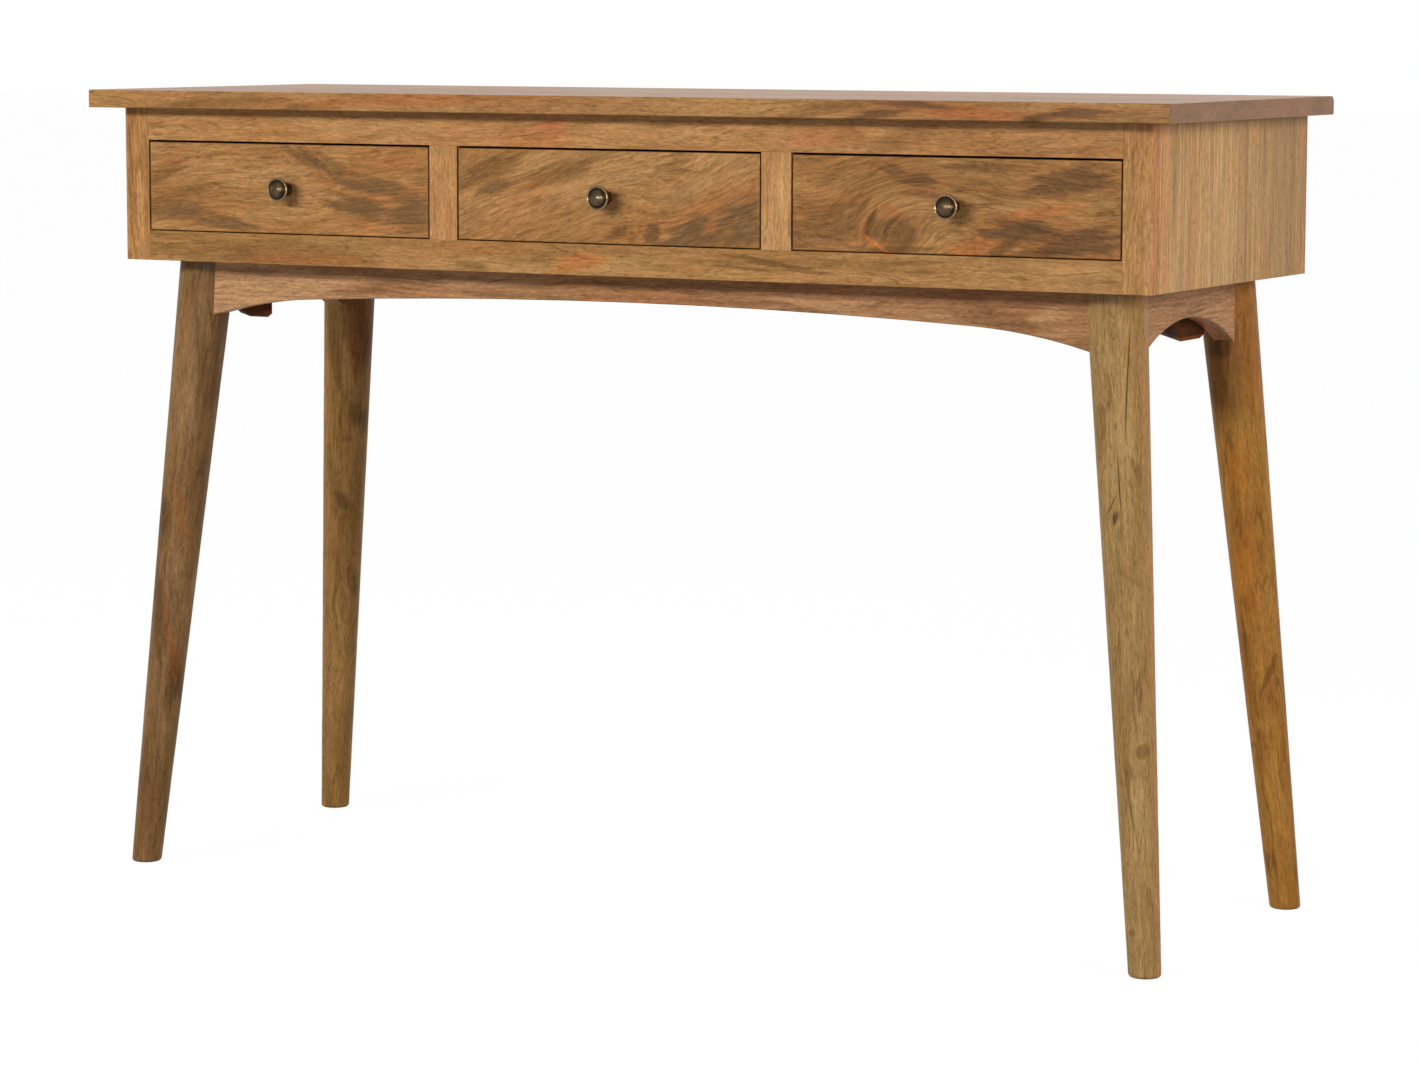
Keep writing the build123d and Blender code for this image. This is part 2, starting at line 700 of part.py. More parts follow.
# Corner blocks: wedges across the corners, two cut deeper than the others, clipped below and bored for the bolt
for name, corner in CORNERS.items():
    corner_x = corner[0] * (apron_face_x - APRON_THICKNESS)
    corner_y = case_middle + corner[1] * (apron_face_y - APRON_THICKNESS)
    block_height = BLOCK_DEEP if corner[0] == corner[1] else BLOCK_SHALLOW
    with BuildPart() as block:
        with BuildSketch(Plane.XY.offset(case_base - block_height)):
            with BuildLine():
                Polyline(
                    (corner_x - corner[0] * BLOCK_NEAR, corner_y),
                    (corner_x - corner[0] * BLOCK_FAR_LONG, corner_y),
                    (corner_x, corner_y - corner[1] * BLOCK_FAR_SIDE),
                    (corner_x, corner_y - corner[1] * BLOCK_NEAR),
                    close=True,
                )
            make_face()
        extrude(amount=block_height)
        chamfer(block.faces().sort_by(Axis.Z)[0].edges(), BLOCK_CLIP)
        with BuildSketch(bolt_start(corner)):
            Circle(BOLT_RADIUS + BOLT_BLOCK_CLEARANCE)
        extrude(amount=BOLT_LENGTH, mode=Mode.SUBTRACT)
        with BuildSketch(bolt_plane(corner)):
            Circle(POCKET_RADIUS)
        extrude(amount=-BLOCK_FAR_SIDE, mode=Mode.SUBTRACT)
        add(wood_screws.part, mode=Mode.SUBTRACT)
    save(block.part, f"{name}_corner_block")
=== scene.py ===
"""Looks of a writing desk: figured waxed hardwood, turned legs, aged brass knobs and blackened fasteners."""
import logging
import math
from dataclasses import asdict, dataclass
from enum import Enum

import bmesh
import bpy
from mathutils import Matrix, Vector


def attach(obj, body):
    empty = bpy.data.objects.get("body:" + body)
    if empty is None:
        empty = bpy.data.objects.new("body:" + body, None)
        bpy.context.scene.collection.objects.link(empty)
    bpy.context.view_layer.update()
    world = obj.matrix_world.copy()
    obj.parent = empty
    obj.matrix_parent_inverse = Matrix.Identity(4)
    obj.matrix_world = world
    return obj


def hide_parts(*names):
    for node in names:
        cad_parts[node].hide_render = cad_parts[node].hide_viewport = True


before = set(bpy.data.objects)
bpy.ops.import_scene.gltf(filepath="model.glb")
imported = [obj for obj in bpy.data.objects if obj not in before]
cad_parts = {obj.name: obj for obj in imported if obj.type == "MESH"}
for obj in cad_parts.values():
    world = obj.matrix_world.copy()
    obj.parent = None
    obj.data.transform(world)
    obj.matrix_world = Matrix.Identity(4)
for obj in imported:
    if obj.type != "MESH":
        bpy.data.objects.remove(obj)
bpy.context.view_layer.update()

LOG = logging.getLogger("writing_desk")
Triple = tuple[float, float, float]
Socket = bpy.types.NodeSocket
Material = bpy.types.Material
# Middle of each drawer, from left to right.
BAYS: dict[str, float] = {"left": -0.350, "middle": 0.0, "right": 0.350}
# Side of the desk, in X and Y, on which each leg stands.
CORNERS: dict[str, tuple[int, int]] = {
    "front_left": (-1, -1),
    "front_right": (1, -1),
    "rear_left": (-1, 1),
    "rear_right": (1, 1),
}
# Planes of the desk, in metres.
FRONT_FACE = -0.170
BACK_FACE = 0.190
SIDE_FACE = 0.5375
APRON_FACE = -0.131
TOP_EDGE = -0.195
TOP_FACE = 0.760
LEG_MIDDLE = 0.0125
# A stain reaches this far into a board.
STAIN_DEPTH = 0.03
# Points that lie closer than this are one point.
MERGE = 0.000005
# Points that lie within this of a solid's end belong to its face.
END_TOLERANCE = 0.0001
# Ranges of a noise that hold nearly all, and most, of its values.
SPREAD = (0.25, 0.75)
MIDDLE = (0.3, 0.7)


class Grain(Enum):
    """Turn, in radians, that brings the fibres of a board onto the X axis."""

    LENGTHWAYS = (0.0, 0.0, 0.0)
    FRONT_TO_BACK = (0.0, 0.0, -math.pi / 2)
    UPRIGHT = (0.0, math.pi / 2, 0.0)


class LampUse(Enum):
    """What a lamp does: it shades all surfaces, or only glints on them."""

    SHADE = "shade"
    GLINT = "glint"


class Stain(Enum):
    """Which tone of the wood a patch takes."""

    SPALT = "spalt"
    BLUSH = "blush"
    EMBER = "ember"
    DARK = "dark"
    LIGHT = "light"


SPALT, BLUSH, EMBER, DARK, LIGHT = Stain


def linear(tone: Triple) -> tuple[float, float, float, float]:
    """Turns a colour as seen on a screen into scene light.

    Args:
        tone: Red, green and blue from 0 to 255.

    Returns:
        Linear red, green and blue, and an alpha of 1.
    """
    parts = []
    for part in tone:
        share = part / 255
        parts.append(share / 12.92 if share <= 0.04045 else ((share + 0.055) / 1.055) ** 2.4)
    return (*parts, 1.0)


class Graph:
    """A node tree with short ways to add and join nodes."""

    def __init__(self, tree: bpy.types.NodeTree) -> None:
        """Keeps the tree and empties it."""
        self.tree = tree
        tree.nodes.clear()

    def add(self, kind: str, **settings: object) -> bpy.types.Node:
        """Adds a node.

        Args:
            kind: Blender's name of the node type.
            settings: Values of the node's own properties.

        Returns:
            The new node.
        """
        node = self.tree.nodes.new(kind)
        for name, value in settings.items():
            setattr(node, name, value)
        return node

    def feed(self, socket: Socket, value: object) -> None:
        """Joins a socket to an output, or sets it to a plain value.

        Args:
            socket: The input to feed.
            value: An output socket or a value.
        """
        if isinstance(value, Socket):
            self.tree.links.new(value, socket)
        else:
            socket.default_value = value

    def join(self, node: bpy.types.Node, *values: object) -> Socket:
        """Feeds a node's first inputs.

        Args:
            node: The node.
            values: Sockets or values, in the order of the inputs.

        Returns:
            The node's first output.
        """
        for socket, value in zip(node.inputs, values):
            self.feed(socket, value)
        return node.outputs[0]

    def math(self, operation: str, *values: object) -> Socket:
        """Works out a number from sockets or numbers."""
        return self.join(self.add("ShaderNodeMath", operation=operation), *values)

    def vector(self, operation: str, *values: object) -> Socket:
        """Works out a vector, or the number that its operation gives.

        Args:
            operation: Name of the vector sum, such as ADD or LENGTH.
            values: Sockets or vectors, in the order of the node's inputs.

        Returns:
            The result's socket.
        """
        node = self.add("ShaderNodeVectorMath", operation=operation)
        inputs = [node.inputs[0], node.inputs[3]] if operation == "SCALE" else node.inputs
        for socket, value in zip(inputs, values):
            self.feed(socket, value)
        return node.outputs["Value" if operation in ("LENGTH", "DOT_PRODUCT") else "Vector"]

    def axes(self, vector: object) -> tuple[Socket, ...]:
        """Splits a vector into its X, Y and Z.

        Args:
            vector: The vector's socket.

        Returns:
            The three numbers' sockets.
        """
        node = self.add("ShaderNodeSeparateXYZ")
        self.feed(node.inputs[0], vector)
        return tuple(node.outputs)

    def blend(self, share: object, first: object, second: object) -> Socket:
        """Mixes two numbers.

        Args:
            share: How much of the second number.
            first: First number.
            second: Second number.

        Returns:
            The mixed number's socket.
        """
        node = self.add("ShaderNodeMix", data_type="FLOAT")
        for index, value in zip((0, 2, 3), (share, first, second)):
            self.feed(node.inputs[index], value)
        return node.outputs[0]

    def band(
        self, value: object, low: float, high: float, first: float = 0.0, last: float = 1.0
    ) -> Socket:
        """Eases a number from one level to another.

        Args:
            value: The number to read.
            low: Where the change starts.
            high: Where it ends.
            first: Result at low.
            last: Result at high.

        Returns:
            The eased number's socket.
        """
        node = self.add("ShaderNodeMapRange", interpolation_type="SMOOTHSTEP")
        return self.join(node, value, low, high, first, last)

    def noise(
        self,
        position: object,
        stretch: Triple,
        detail: float = 2.0,
        roughness: float = 0.5,
        part: str = "Fac",
    ) -> Socket:
        """Reads a noise that is stretched along the axes.

        Args:
            position: Where to read it.
            stretch: Waves per metre along each axis.
            detail: Layers of finer noise.
            roughness: Share of each finer layer.
            part: Fac for a number, Color for three.

        Returns:
            The noise's socket.
        """
        node = self.add("ShaderNodeTexNoise", noise_dimensions="3D")
        self.feed(node.inputs["Vector"], self.vector("MULTIPLY", position, stretch))
        node.inputs["Scale"].default_value = 1.0
        node.inputs["Detail"].default_value = detail
        node.inputs["Roughness"].default_value = roughness
        return node.outputs[part]

    def waver(
        self, position: object, stretch: Triple, detail: float, roughness: float, size: Triple
    ) -> Socket:
        """Reads three noises about zero as a vector.

        Args:
            position: Where to read them.
            stretch: Waves per metre along each axis.
            detail: Layers of finer noise.
            roughness: Share of each finer layer.
            size: Size of each noise.

        Returns:
            The vector's socket.
        """
        raw = self.noise(position, stretch, detail, roughness, "Color")
        return self.vector("MULTIPLY", self.vector("SUBTRACT", raw, (0.5, 0.5, 0.5)), size)


class Shader(Graph):
    """The node tree of a material."""

    def __init__(self, name: str) -> None:
        """Makes the material with a principled shader.

        Args:
            name: The material's name.
        """
        self.material = bpy.data.materials.new(name)
        self.material.use_nodes = True
        super().__init__(self.material.node_tree)
        self.surface = self.add("ShaderNodeBsdfPrincipled")
        output = self.add("ShaderNodeOutputMaterial")
        self.feed(output.inputs["Surface"], self.surface.outputs[0])
        place = self.add("ShaderNodeTexCoord")
        self.position = place.outputs["Object"]
        self.normal = place.outputs["Normal"]

    def mix(self, share: object, first: object, second: object) -> Socket:
        """Mixes two colours.

        Args:
            share: How much of the second colour.
            first: First colour.
            second: Second colour.

        Returns:
            The mixed colour's socket.
        """
        node = self.add("ShaderNodeMix", data_type="RGBA", clamp_factor=True)
        for index, value in zip((0, 6, 7), (share, first, second)):
            self.feed(node.inputs[index], value)
        return node.outputs[2]

    def mapped(
        self,
        place: object,
        kind: str = "POINT",
        shift: Triple = (0.0, 0.0, 0.0),
        turn: Triple = (0.0, 0.0, 0.0),
        size: Triple = (1.0, 1.0, 1.0),
    ) -> Socket:
        """Moves, turns and scales a position.

        Args:
            place: The position.
            kind: POINT to move it, TEXTURE to read it in the space of what is so moved.
            shift: The move.
            turn: The turn in radians.
            size: The scale.

        Returns:
            The new position's socket.
        """
        node = self.add("ShaderNodeMapping", vector_type=kind)
        return self.join(node, place, shift, turn, size)

    def bump(self, height: object, strength: float, distance: float) -> None:
        """Raises the surface by a height in shading.

        Args:
            height: The height's socket.
            strength: Share of the effect.
            distance: Depth in metres for a height of 1.
        """
        node = self.add("ShaderNodeBump")
        node.inputs["Strength"].default_value = strength
        node.inputs["Distance"].default_value = distance
        self.feed(node.inputs["Height"], height)
        self.feed(self.surface.inputs["Normal"], node.outputs[0])


@dataclass(frozen=True)
class Weave:
    """A noise that is drawn out along the fibres, in waves per metre."""

    along: float
    across: float
    detail: float
    roughness: float = 0.5


BROAD = Weave(6.0, 30.0, 4.0, 0.6)
STREAKS = Weave(13.0, 85.0, 5.0, 0.62)
ROSY = Weave(6.0, 42.5, 4.0)
LINES = Weave(26.0, 360.0, 3.0, 0.6)
FIBRE = Weave(160.0, 800.0, 2.0, 0.6)
PORES = Weave(110.0, 900.0, 2.0)
FEATHERS = Weave(24.0, 150.0, 5.0, 0.66)
YEARS = Weave(3.2, 26.0, 3.0)
BREAKS = Weave(14.0, 60.0, 3.0, 0.6)
# Levels of noise between which each part of the figure fades in.
FLAME_EDGE = (0.36, 0.64)
STREAK_EDGE = (0.50, 0.76)
FLECK_EDGE = (0.50, 0.72)
BREAK_EDGE = (0.40, 0.60)
PORE_EDGE = (0.53, 0.68)
# Reach, as a share of a patch's size, over which its stain and its rosy rim fade out.
STAIN_EDGE = (0.45, 1.15)
RIM_EDGE = (0.95, 1.5)
# Waves per metre of the tongues of a stain, along and across the fibres.
TONGUES = (11.0, 130.0)
YEARS_PER_WAVE = 13.0
VEIN_WIDTH = 0.13
END_FACING = (0.75, 0.95)
BUMP_STRENGTH = 0.35
BUMP_DEPTH = 0.0003


@dataclass(frozen=True)
class Patch:
    """An area with a feathered edge, in metres on the desk: mostly a stain, in a few places painted shade
    and painted highlight.
    """

    stain: Stain
    centre: Triple
    radii: Triple
    tilt: float = 0.0
    strength: float = 0.7
    feather: float = 0.9


def spots(face: float, *rows: tuple) -> tuple[Patch, ...]:
    """Lays stains on a face that looks to the front or the back.

    Args:
        face: Where the face lies, from front to back.
        rows: Each spot's stain, x, z, half width and half height, then what else a patch takes.

    Returns:
        The patches, in the same order.
    """
    return tuple(
        Patch(stain, (x, face, z), (wide, STAIN_DEPTH, high), *rest)
        for stain, x, z, wide, high, *rest in rows
    )


@dataclass(frozen=True)
class Knot:
    """A knot, and how far the fibres bend and whirl round it."""

    centre: Triple
    radius: float
    flow: float
    strength: float = 0.85
    squash: float = 1.0
    twist: float = 0.0


@dataclass(frozen=True)
class Staves:
    """Strips glued side by side across an axis."""

    axis: Triple
    width: float
    contrast: float = 0.10


@dataclass(frozen=True)
class StripAndWarmLight:
    """A strip beyond a plane, in its own tone: partly other wood, partly painted warm light."""

    normal: Triple
    offset: float
    tone: Triple


@dataclass(frozen=True)
class WoodTones:
    """Colours of one board, red, green and blue from 0 to 255."""

    main: Triple
    light: Triple
    dark: Triple
    blush: Triple
    spalt: Triple = (112, 86, 58)
    ember: Triple = (186, 98, 46)
    end: Triple = (132, 100, 76)

    def of(self, stain: Stain) -> tuple[float, float, float, float]:
        """Gives the linear colour of a stain."""
        return linear(getattr(self, stain.value))


@dataclass(frozen=True)
class WoodFinish:
    """Waxed hardwood of one board, with its own figure."""

    name: str
    tones: WoodTones
    turn: Triple
    seed: float
    streaks: float = 0.55
    blush: float = 0.35
    lines: float = 0.20
    flecks: float = 0.45
    feathers: float = 0.24
    veins: float = 0.60
    curl: float = 0.35
    wander: float = 0.012
    fineness: float = 1.0
    length: float = 1.0
    roughness: float = 0.45
    sheen: float = 0.10
    patches: tuple[Patch, ...] = ()
    knots: tuple[Knot, ...] = ()
    staves: Staves | None = None
    lamination: StripAndWarmLight | None = None

    def material(self) -> Material:
        """Builds the wood as a procedural material."""
        return WoodShader(self).paint()


class WoodShader(Shader):
    """The material of one board, painted layer by layer."""

    def __init__(self, finish: WoodFinish) -> None:
        """Starts with bare wood.

        Args:
            finish: What the board looks like.
        """
        super().__init__(finish.name)
        self.finish = finish
        self.fibres = self._fibres()
        self.grain = self.position
        self.colour = linear(finish.tones.main)
        self.level = 1.0

    def _fibres(self) -> Vector:
        """Works out how the fibres run.

        Returns:
            Their direction on the desk.
        """
        axis = Matrix.Identity(3)
        for turn, name in zip(self.finish.turn, "XYZ"):
            axis = Matrix.Rotation(turn, 3, name) @ axis
        return axis.transposed() @ Vector((1.0, 0.0, 0.0))

    def paint(self) -> Material:
        """Paints the wood and waxes it.

        Returns:
            The finished material.
        """
        finish = self.finish
        knots = self._lay_grain()
        broad = self._read(BROAD, finish.length)
        lines = self._read(LINES, finish.length)
        fibre = self._read(FIBRE)
        pores = self.band(self._read(PORES), *PORE_EDGE)
        self._figure(broad)
        for mask, inside in knots:
            self._lay(mask, inside)
        shades = (
            self.band(lines, *SPREAD, 1.0 - finish.lines, 1.0 + finish.lines * 0.6),
            self.band(fibre, *SPREAD, 0.80, 1.17),
            self.math("MULTIPLY_ADD", pores, -0.6 * finish.flecks, 1.0),
        )
        for shade in shades:
            self.level = self.math("MULTIPLY", self.level, shade)
        self.colour = self.vector("SCALE", self.colour, self.level)
        self._end_grain()
        gloss = self.band(broad, *SPREAD, finish.roughness - 0.05, finish.roughness + 0.06)
        height = self.math("MULTIPLY_ADD", fibre, 0.4, self.math("MULTIPLY", lines, 0.5))
        self.feed(self.surface.inputs["Base Color"], self.colour)
        self.feed(self.surface.inputs["Roughness"], self.math("MULTIPLY_ADD", pores, 0.12, gloss))
        self.surface.inputs["Specular IOR Level"].default_value = finish.sheen
        self.bump(self.math("MULTIPLY_ADD", pores, -0.7, height), BUMP_STRENGTH, BUMP_DEPTH)
        return self.material

    def _lay(self, share: object, colour: object) -> None:
        """Lays a share of a colour over the colour so far."""
        self.colour = self.mix(share, self.colour, colour)

    def _read(
        self, weave: Weave, length: float = 1.0, fineness: float = 1.0, place: Socket | None = None
    ) -> Socket:
        """Reads a noise along the grain.

        Args:
            weave: The noise.
            length: How much longer its waves are.
            fineness: How much narrower they are.
            place: Where it is read, if not at the grain's own place.

        Returns:
            The noise's socket.
        """
        across = weave.across * fineness
        place = self.grain if place is None else place
        return self.noise(place, (weave.along / length, across, across), weave.detail, weave.roughness)

    def _lay_grain(self) -> list[tuple[Socket, Socket]]:
        """Turns the position on the desk into one along and across the fibres.

        Returns:
            Each knot's mask and colour.
        """
        finish = self.finish
        knots = [self._bend_round(knot) for knot in finish.knots]
        shift = (finish.seed * 3.1, finish.seed * 1.7, finish.seed * 2.3)
        self.grain = self.mapped(self.grain, shift=shift, turn=finish.turn)
        if finish.staves:
            self._split(finish.staves)
        sway = self.waver(self.grain, (5.0, 9.0, 9.0), 2.0, 0.5, (0.0, finish.wander * 2, finish.wander * 2))
        self.grain = self.vector("ADD", self.grain, sway)
        return knots

    def _bend_round(self, knot: Knot) -> tuple[Socket, Socket]:
        """Draws the grain in towards a knot, so that lines of figure flow round it.

        Args:
            knot: The knot.

        Returns:
            The knot's mask and its colour.
        """
        apart = self.vector("SUBTRACT", self.position, knot.centre)
        length = self.vector("LENGTH", self.vector("MULTIPLY", apart, (knot.squash, 1.0, 1.0)))
        fade = self.math("MULTIPLY_ADD", length, length, knot.flow**2)
        fade = self.math("DIVIDE", knot.flow**2, fade)
        whirl = self.add("ShaderNodeVectorRotate", rotation_type="Y_AXIS")
        self.feed(whirl.inputs["Vector"], self.grain)
        whirl.inputs["Center"].default_value = knot.centre
        self.feed(whirl.inputs["Angle"], self.math("MULTIPLY", fade, knot.twist))
        inwards = self.vector("SUBTRACT", whirl.outputs[0], knot.centre)
        pull = self.vector("SCALE", inwards, self.math("MULTIPLY", fade, 0.9))
        self.grain = self.vector("SUBTRACT", whirl.outputs[0], pull)
        ripple = self.math("SUBTRACT", self.noise(self.position, (60.0, 60.0, 60.0), 4.0), 0.5)
        reach = self.math("MULTIPLY_ADD", ripple, knot.radius * 1.3, length)
        mask = self.band(reach, knot.radius * 0.5, knot.radius * 1.25, knot.strength, 0.0)
        coil = self.vector("SCALE", (1.0, 0.6, 0.3), reach)
        rings = self.band(self.noise(coil, (7.5 / knot.radius,) * 3, 3.0), 0.30, 0.60, 0.0, 0.6)
        pith = self.band(length, knot.radius * 0.05, knot.radius * 0.12, 1.0, 0.0)
        tones = self.finish.tones
        pale = self.math("SUBTRACT", rings, pith)
        return mask, self.mix(pale, linear(tones.dark), linear(tones.main))

    def _split(self, staves: Staves) -> None:
        """Shifts the figure and the brightness from strip to strip.

        Args:
            staves: The strips.
        """
        across = self.vector("DOT_PRODUCT", self.position, staves.axis)
        sway = self.math("SINE", self.math("MULTIPLY", across, 2.1 / staves.width))
        across = self.math("MULTIPLY_ADD", sway, staves.width * 0.3, across)
        number = self.math("FLOOR", self.math("DIVIDE", across, staves.width))
        chance = self.add("ShaderNodeTexWhiteNoise", noise_dimensions="1D")
        self.feed(chance.inputs["W"], self.math("ADD", number, self.finish.seed + 0.37))
        jump = self.vector("MULTIPLY", chance.outputs["Color"], (5.0, 2.0, 2.0))
        self.grain = self.vector("ADD", self.grain, jump)
        darkest, lightest = 1.0 - staves.contrast, 1.0 + staves.contrast
        self.level = self.band(chance.outputs["Value"], 0.0, 1.0, darkest, lightest)

    def _figure(self, broad: Socket) -> None:
        """Paints the streaks, flecks, year lines, the strip and the patches, most of them stains and a few
        painted shade and painted highlight.

        Args:
            broad: The broad noise between the main and the light tone.
        """
        finish, tones = self.finish, self.finish.tones
        streaks = self._read(STREAKS, finish.length, finish.fineness)
        elsewhere = self.vector("ADD", self.grain, (7.3, 1.9, 4.1))
        rosy = self._read(ROSY, finish.length, finish.fineness, elsewhere)
        aslant = self.mapped(self.grain, turn=(0.0, finish.curl, 0.0))
        feathers = self._read(FEATHERS, place=aslant)
        self._lay(self.band(broad, *FLAME_EDGE), linear(tones.light))
        self._lay(self.band(rosy, *FLECK_EDGE, 0.0, finish.blush), linear(tones.blush))
        self._lay(self.band(streaks, *STREAK_EDGE, 0.0, finish.streaks), linear(tones.dark))
        self._lay(self.band(feathers, *FLECK_EDGE, 0.0, finish.feathers), linear(tones.dark))
        self._lay(self._veins(), linear(tones.dark))
        if finish.lamination:
            self._laminate(finish.lamination)
        ragged = self.math("MULTIPLY", self.math("ADD", feathers, streaks), 0.5)
        for patch in finish.patches:
            self._stain(patch, ragged)

    def _veins(self) -> Socket:
        """Draws the thin year lines that wander along the fibres.

        Returns:
            How dark the lines are, from 0 to 1.
        """
        age = self._read(YEARS, self.finish.length)
        year = self.math("FRACT", self.math("MULTIPLY", age, YEARS_PER_WAVE))
        apart = self.math("ABSOLUTE", self.math("SUBTRACT", year, 0.5))
        elsewhere = self.vector("ADD", self.grain, (2.7, 5.3, 8.1))
        kept = self.band(self._read(BREAKS, place=elsewhere), *BREAK_EDGE, 0.0, self.finish.veins)
        return self.math("MULTIPLY", self.band(apart, 0.0, VEIN_WIDTH, 1.0, 0.0), kept)

    def _laminate(self, strip: StripAndWarmLight) -> None:
        """Paints the strip: partly other wood, partly painted warm light.

        Args:
            strip: Where it lies, and its tone.
        """
        seam = 0.0004
        side = self.vector("DOT_PRODUCT", self.position, strip.normal)
        beyond = self.band(side, strip.offset - seam, strip.offset + seam)
        self._lay(beyond, self.mix(0.25, linear(strip.tone), self.colour))

    def _stain(self, patch: Patch, ragged: Socket) -> None:
        """Lays one patch over the wood, its outline drawn out in tongues along the fibres; most patches are
        stains, a few are painted shade and painted highlight.

        Args:
            patch: The patch.
            ragged: Noise that tears the outline and mottles the stain.
        """
        turn = (0.0, -patch.tilt, 0.0)
        along = max(range(3), key=lambda axis: abs(self.fibres[axis]))
        stretch = tuple(TONGUES[axis != along] for axis in range(3))
        spread = tuple(patch.feather * 3.4 if axis == along else 0.7 for axis in range(3))
        level = self.mapped(self.position, "TEXTURE", patch.centre, turn)
        tongues = self.waver(level, stretch, 5.0, 0.62, spread)
        inside = self.mapped(self.position, "TEXTURE", patch.centre, turn, patch.radii)
        reach = self.vector("LENGTH", self.vector("ADD", inside, tongues))
        torn = self.math("SUBTRACT", ragged, 0.5)
        reach = self.math("MULTIPLY_ADD", torn, patch.feather * 1.6, reach)
        if patch.stain is SPALT:
            self._lay(self.band(reach, *RIM_EDGE, 0.30, 0.0), self.finish.tones.of(BLUSH))
        mottle = self.band(ragged, *MIDDLE, 1.25, 0.78)
        shade = self.vector("SCALE", self.finish.tones.of(patch.stain)[:3], mottle)
        self._lay(self.band(reach, *STAIN_EDGE, patch.strength, 0.0), shade)

    def _end_grain(self) -> None:
        """Dulls the faces that cut across the fibres."""
        facing = self.math("ABSOLUTE", self.vector("DOT_PRODUCT", self.normal, tuple(self.fibres)))
        dots = self.band(self.noise(self.grain, (700.0, 70.0, 520.0), 3.0, 0.6), *MIDDLE, 0.82, 1.16)
        cloud = self.band(self.noise(self.grain, (60.0, 26.0, 60.0), 4.0, 0.6), *MIDDLE, 0.78, 1.24)
        shade = self.vector("SCALE", linear(self.finish.tones.end)[:3], self.math("MULTIPLY", dots, cloud))
        self._lay(self.band(facing, *END_FACING, 0.0, 0.8), shade)


@dataclass(frozen=True)
class MetalFinish:
    """Aged metal, darkened where the piece carries a darkening attribute: tarnished in its hollows, and a
    painted dark reflection on the knob's dome.
    """

    name: str
    bright: Triple
    dark: Triple
    roughness: float
    worn: float

    def material(self) -> Material:
        """Builds the material.

        Returns:
            The metal as a procedural material.
        """
        shader = Shader(self.name)
        cloud = shader.noise(shader.position, (160.0, 160.0, 160.0), 4.0, 0.6)
        fine = shader.noise(shader.position, (900.0, 900.0, 900.0), 2.0)
        darkening_attribute = shader.add("ShaderNodeAttribute", attribute_name="tarnish_and_dark_reflection")
        age = shader.math("ADD", shader.band(cloud, 0.35, 0.75, 0.0, self.worn), darkening_attribute.outputs["Fac"])
        colour = shader.mix(age, linear(self.bright), linear(self.dark))
        shader.feed(shader.surface.inputs["Base Color"], colour)
        shader.surface.inputs["Metallic"].default_value = 1.0
        gloss = shader.band(cloud, *MIDDLE, self.roughness - 0.06, self.roughness + 0.12)
        shader.feed(shader.surface.inputs["Roughness"], gloss)
        shader.bump(fine, 0.15, 0.0002)
        return shader.material


GOLDEN = WoodTones((178, 126, 73), (193, 145, 92), (138, 95, 51), (188, 120, 72))
GOLDEN_PALE = WoodTones((187, 135, 83), (200, 153, 100), (150, 105, 61), (193, 130, 82))
GOLDEN_BROWN = WoodTones((168, 121, 70), (186, 141, 86), (118, 84, 44), (176, 115, 64))
EDGE = WoodTones(
    (164, 115, 66), (180, 133, 80), (118, 78, 38), (184, 112, 60), (84, 56, 28), (178, 104, 50),
    (122, 84, 54)
)
FIGURED = WoodTones(
    (167, 118, 67), (183, 137, 85), (122, 85, 46), (180, 117, 68), (110, 83, 51), (184, 117, 66)
)
FIGURED_BROWN = WoodTones(
    (156, 110, 62), (174, 128, 77), (102, 69, 37), (172, 109, 60), (98, 70, 42), (182, 107, 54)
)
STRIPED = WoodTones((186, 141, 90), (196, 154, 100), (140, 110, 66), (196, 126, 80))
PINKISH = WoodTones((176, 126, 84), (194, 148, 106), (124, 84, 52), (180, 118, 76))
OLIVE_DARK = WoodTones((124, 90, 52), (144, 108, 67), (84, 57, 30), (132, 88, 46), ember=(146, 88, 40))
OLIVE = WoodTones((155, 119, 69), (174, 139, 88), (106, 75, 39), (160, 118, 64), (58, 38, 22))
OLIVE_BROWN = WoodTones((152, 110, 58), (172, 128, 73), (98, 67, 34), (156, 106, 52), ember=(122, 74, 36))
AMBER = WoodTones(
    (152, 100, 38), (172, 122, 56), (100, 61, 22), (158, 103, 52), (78, 42, 18), (170, 106, 36)
)
STAINED = WoodTones((96, 54, 28), (126, 74, 38), (44, 26, 15), (150, 78, 34), end=(40, 26, 18))
RAW = WoodTones((184, 148, 102), (198, 165, 120), (152, 114, 72), (186, 142, 94), end=(150, 118, 82))

BRASS = MetalFinish("antique_brass", (136, 114, 84), (42, 31, 20), 0.24, 0.30)
STEEL = MetalFinish("dark_steel", (74, 72, 72), (28, 27, 27), 0.42, 0.6)


def raw_wood(name: str, grain: Grain, seed: float) -> Material:
    """Gives the unwaxed wood of the boards inside."""
    return WoodFinish(name, RAW, grain.value, seed, roughness=0.6).material()


def wear(node: str, material: Material) -> None:
    """Gives a CAD node its finish.

    Args:
        node: The node's name.
        material: The finish.
    """
    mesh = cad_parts[node].data
    mesh.materials.clear()
    mesh.materials.append(material)
    LOG.info("%s: %s", node, material.name)


def stand(name: str, data: bpy.types.ID) -> bpy.types.Object:
    """Puts a new object in the scene.

    Args:
        name: Name of the object.
        data: Its mesh, light or camera.

    Returns:
        The object.
    """
    thing = bpy.data.objects.new(name, data)
    bpy.context.scene.collection.objects.link(thing)
    return thing


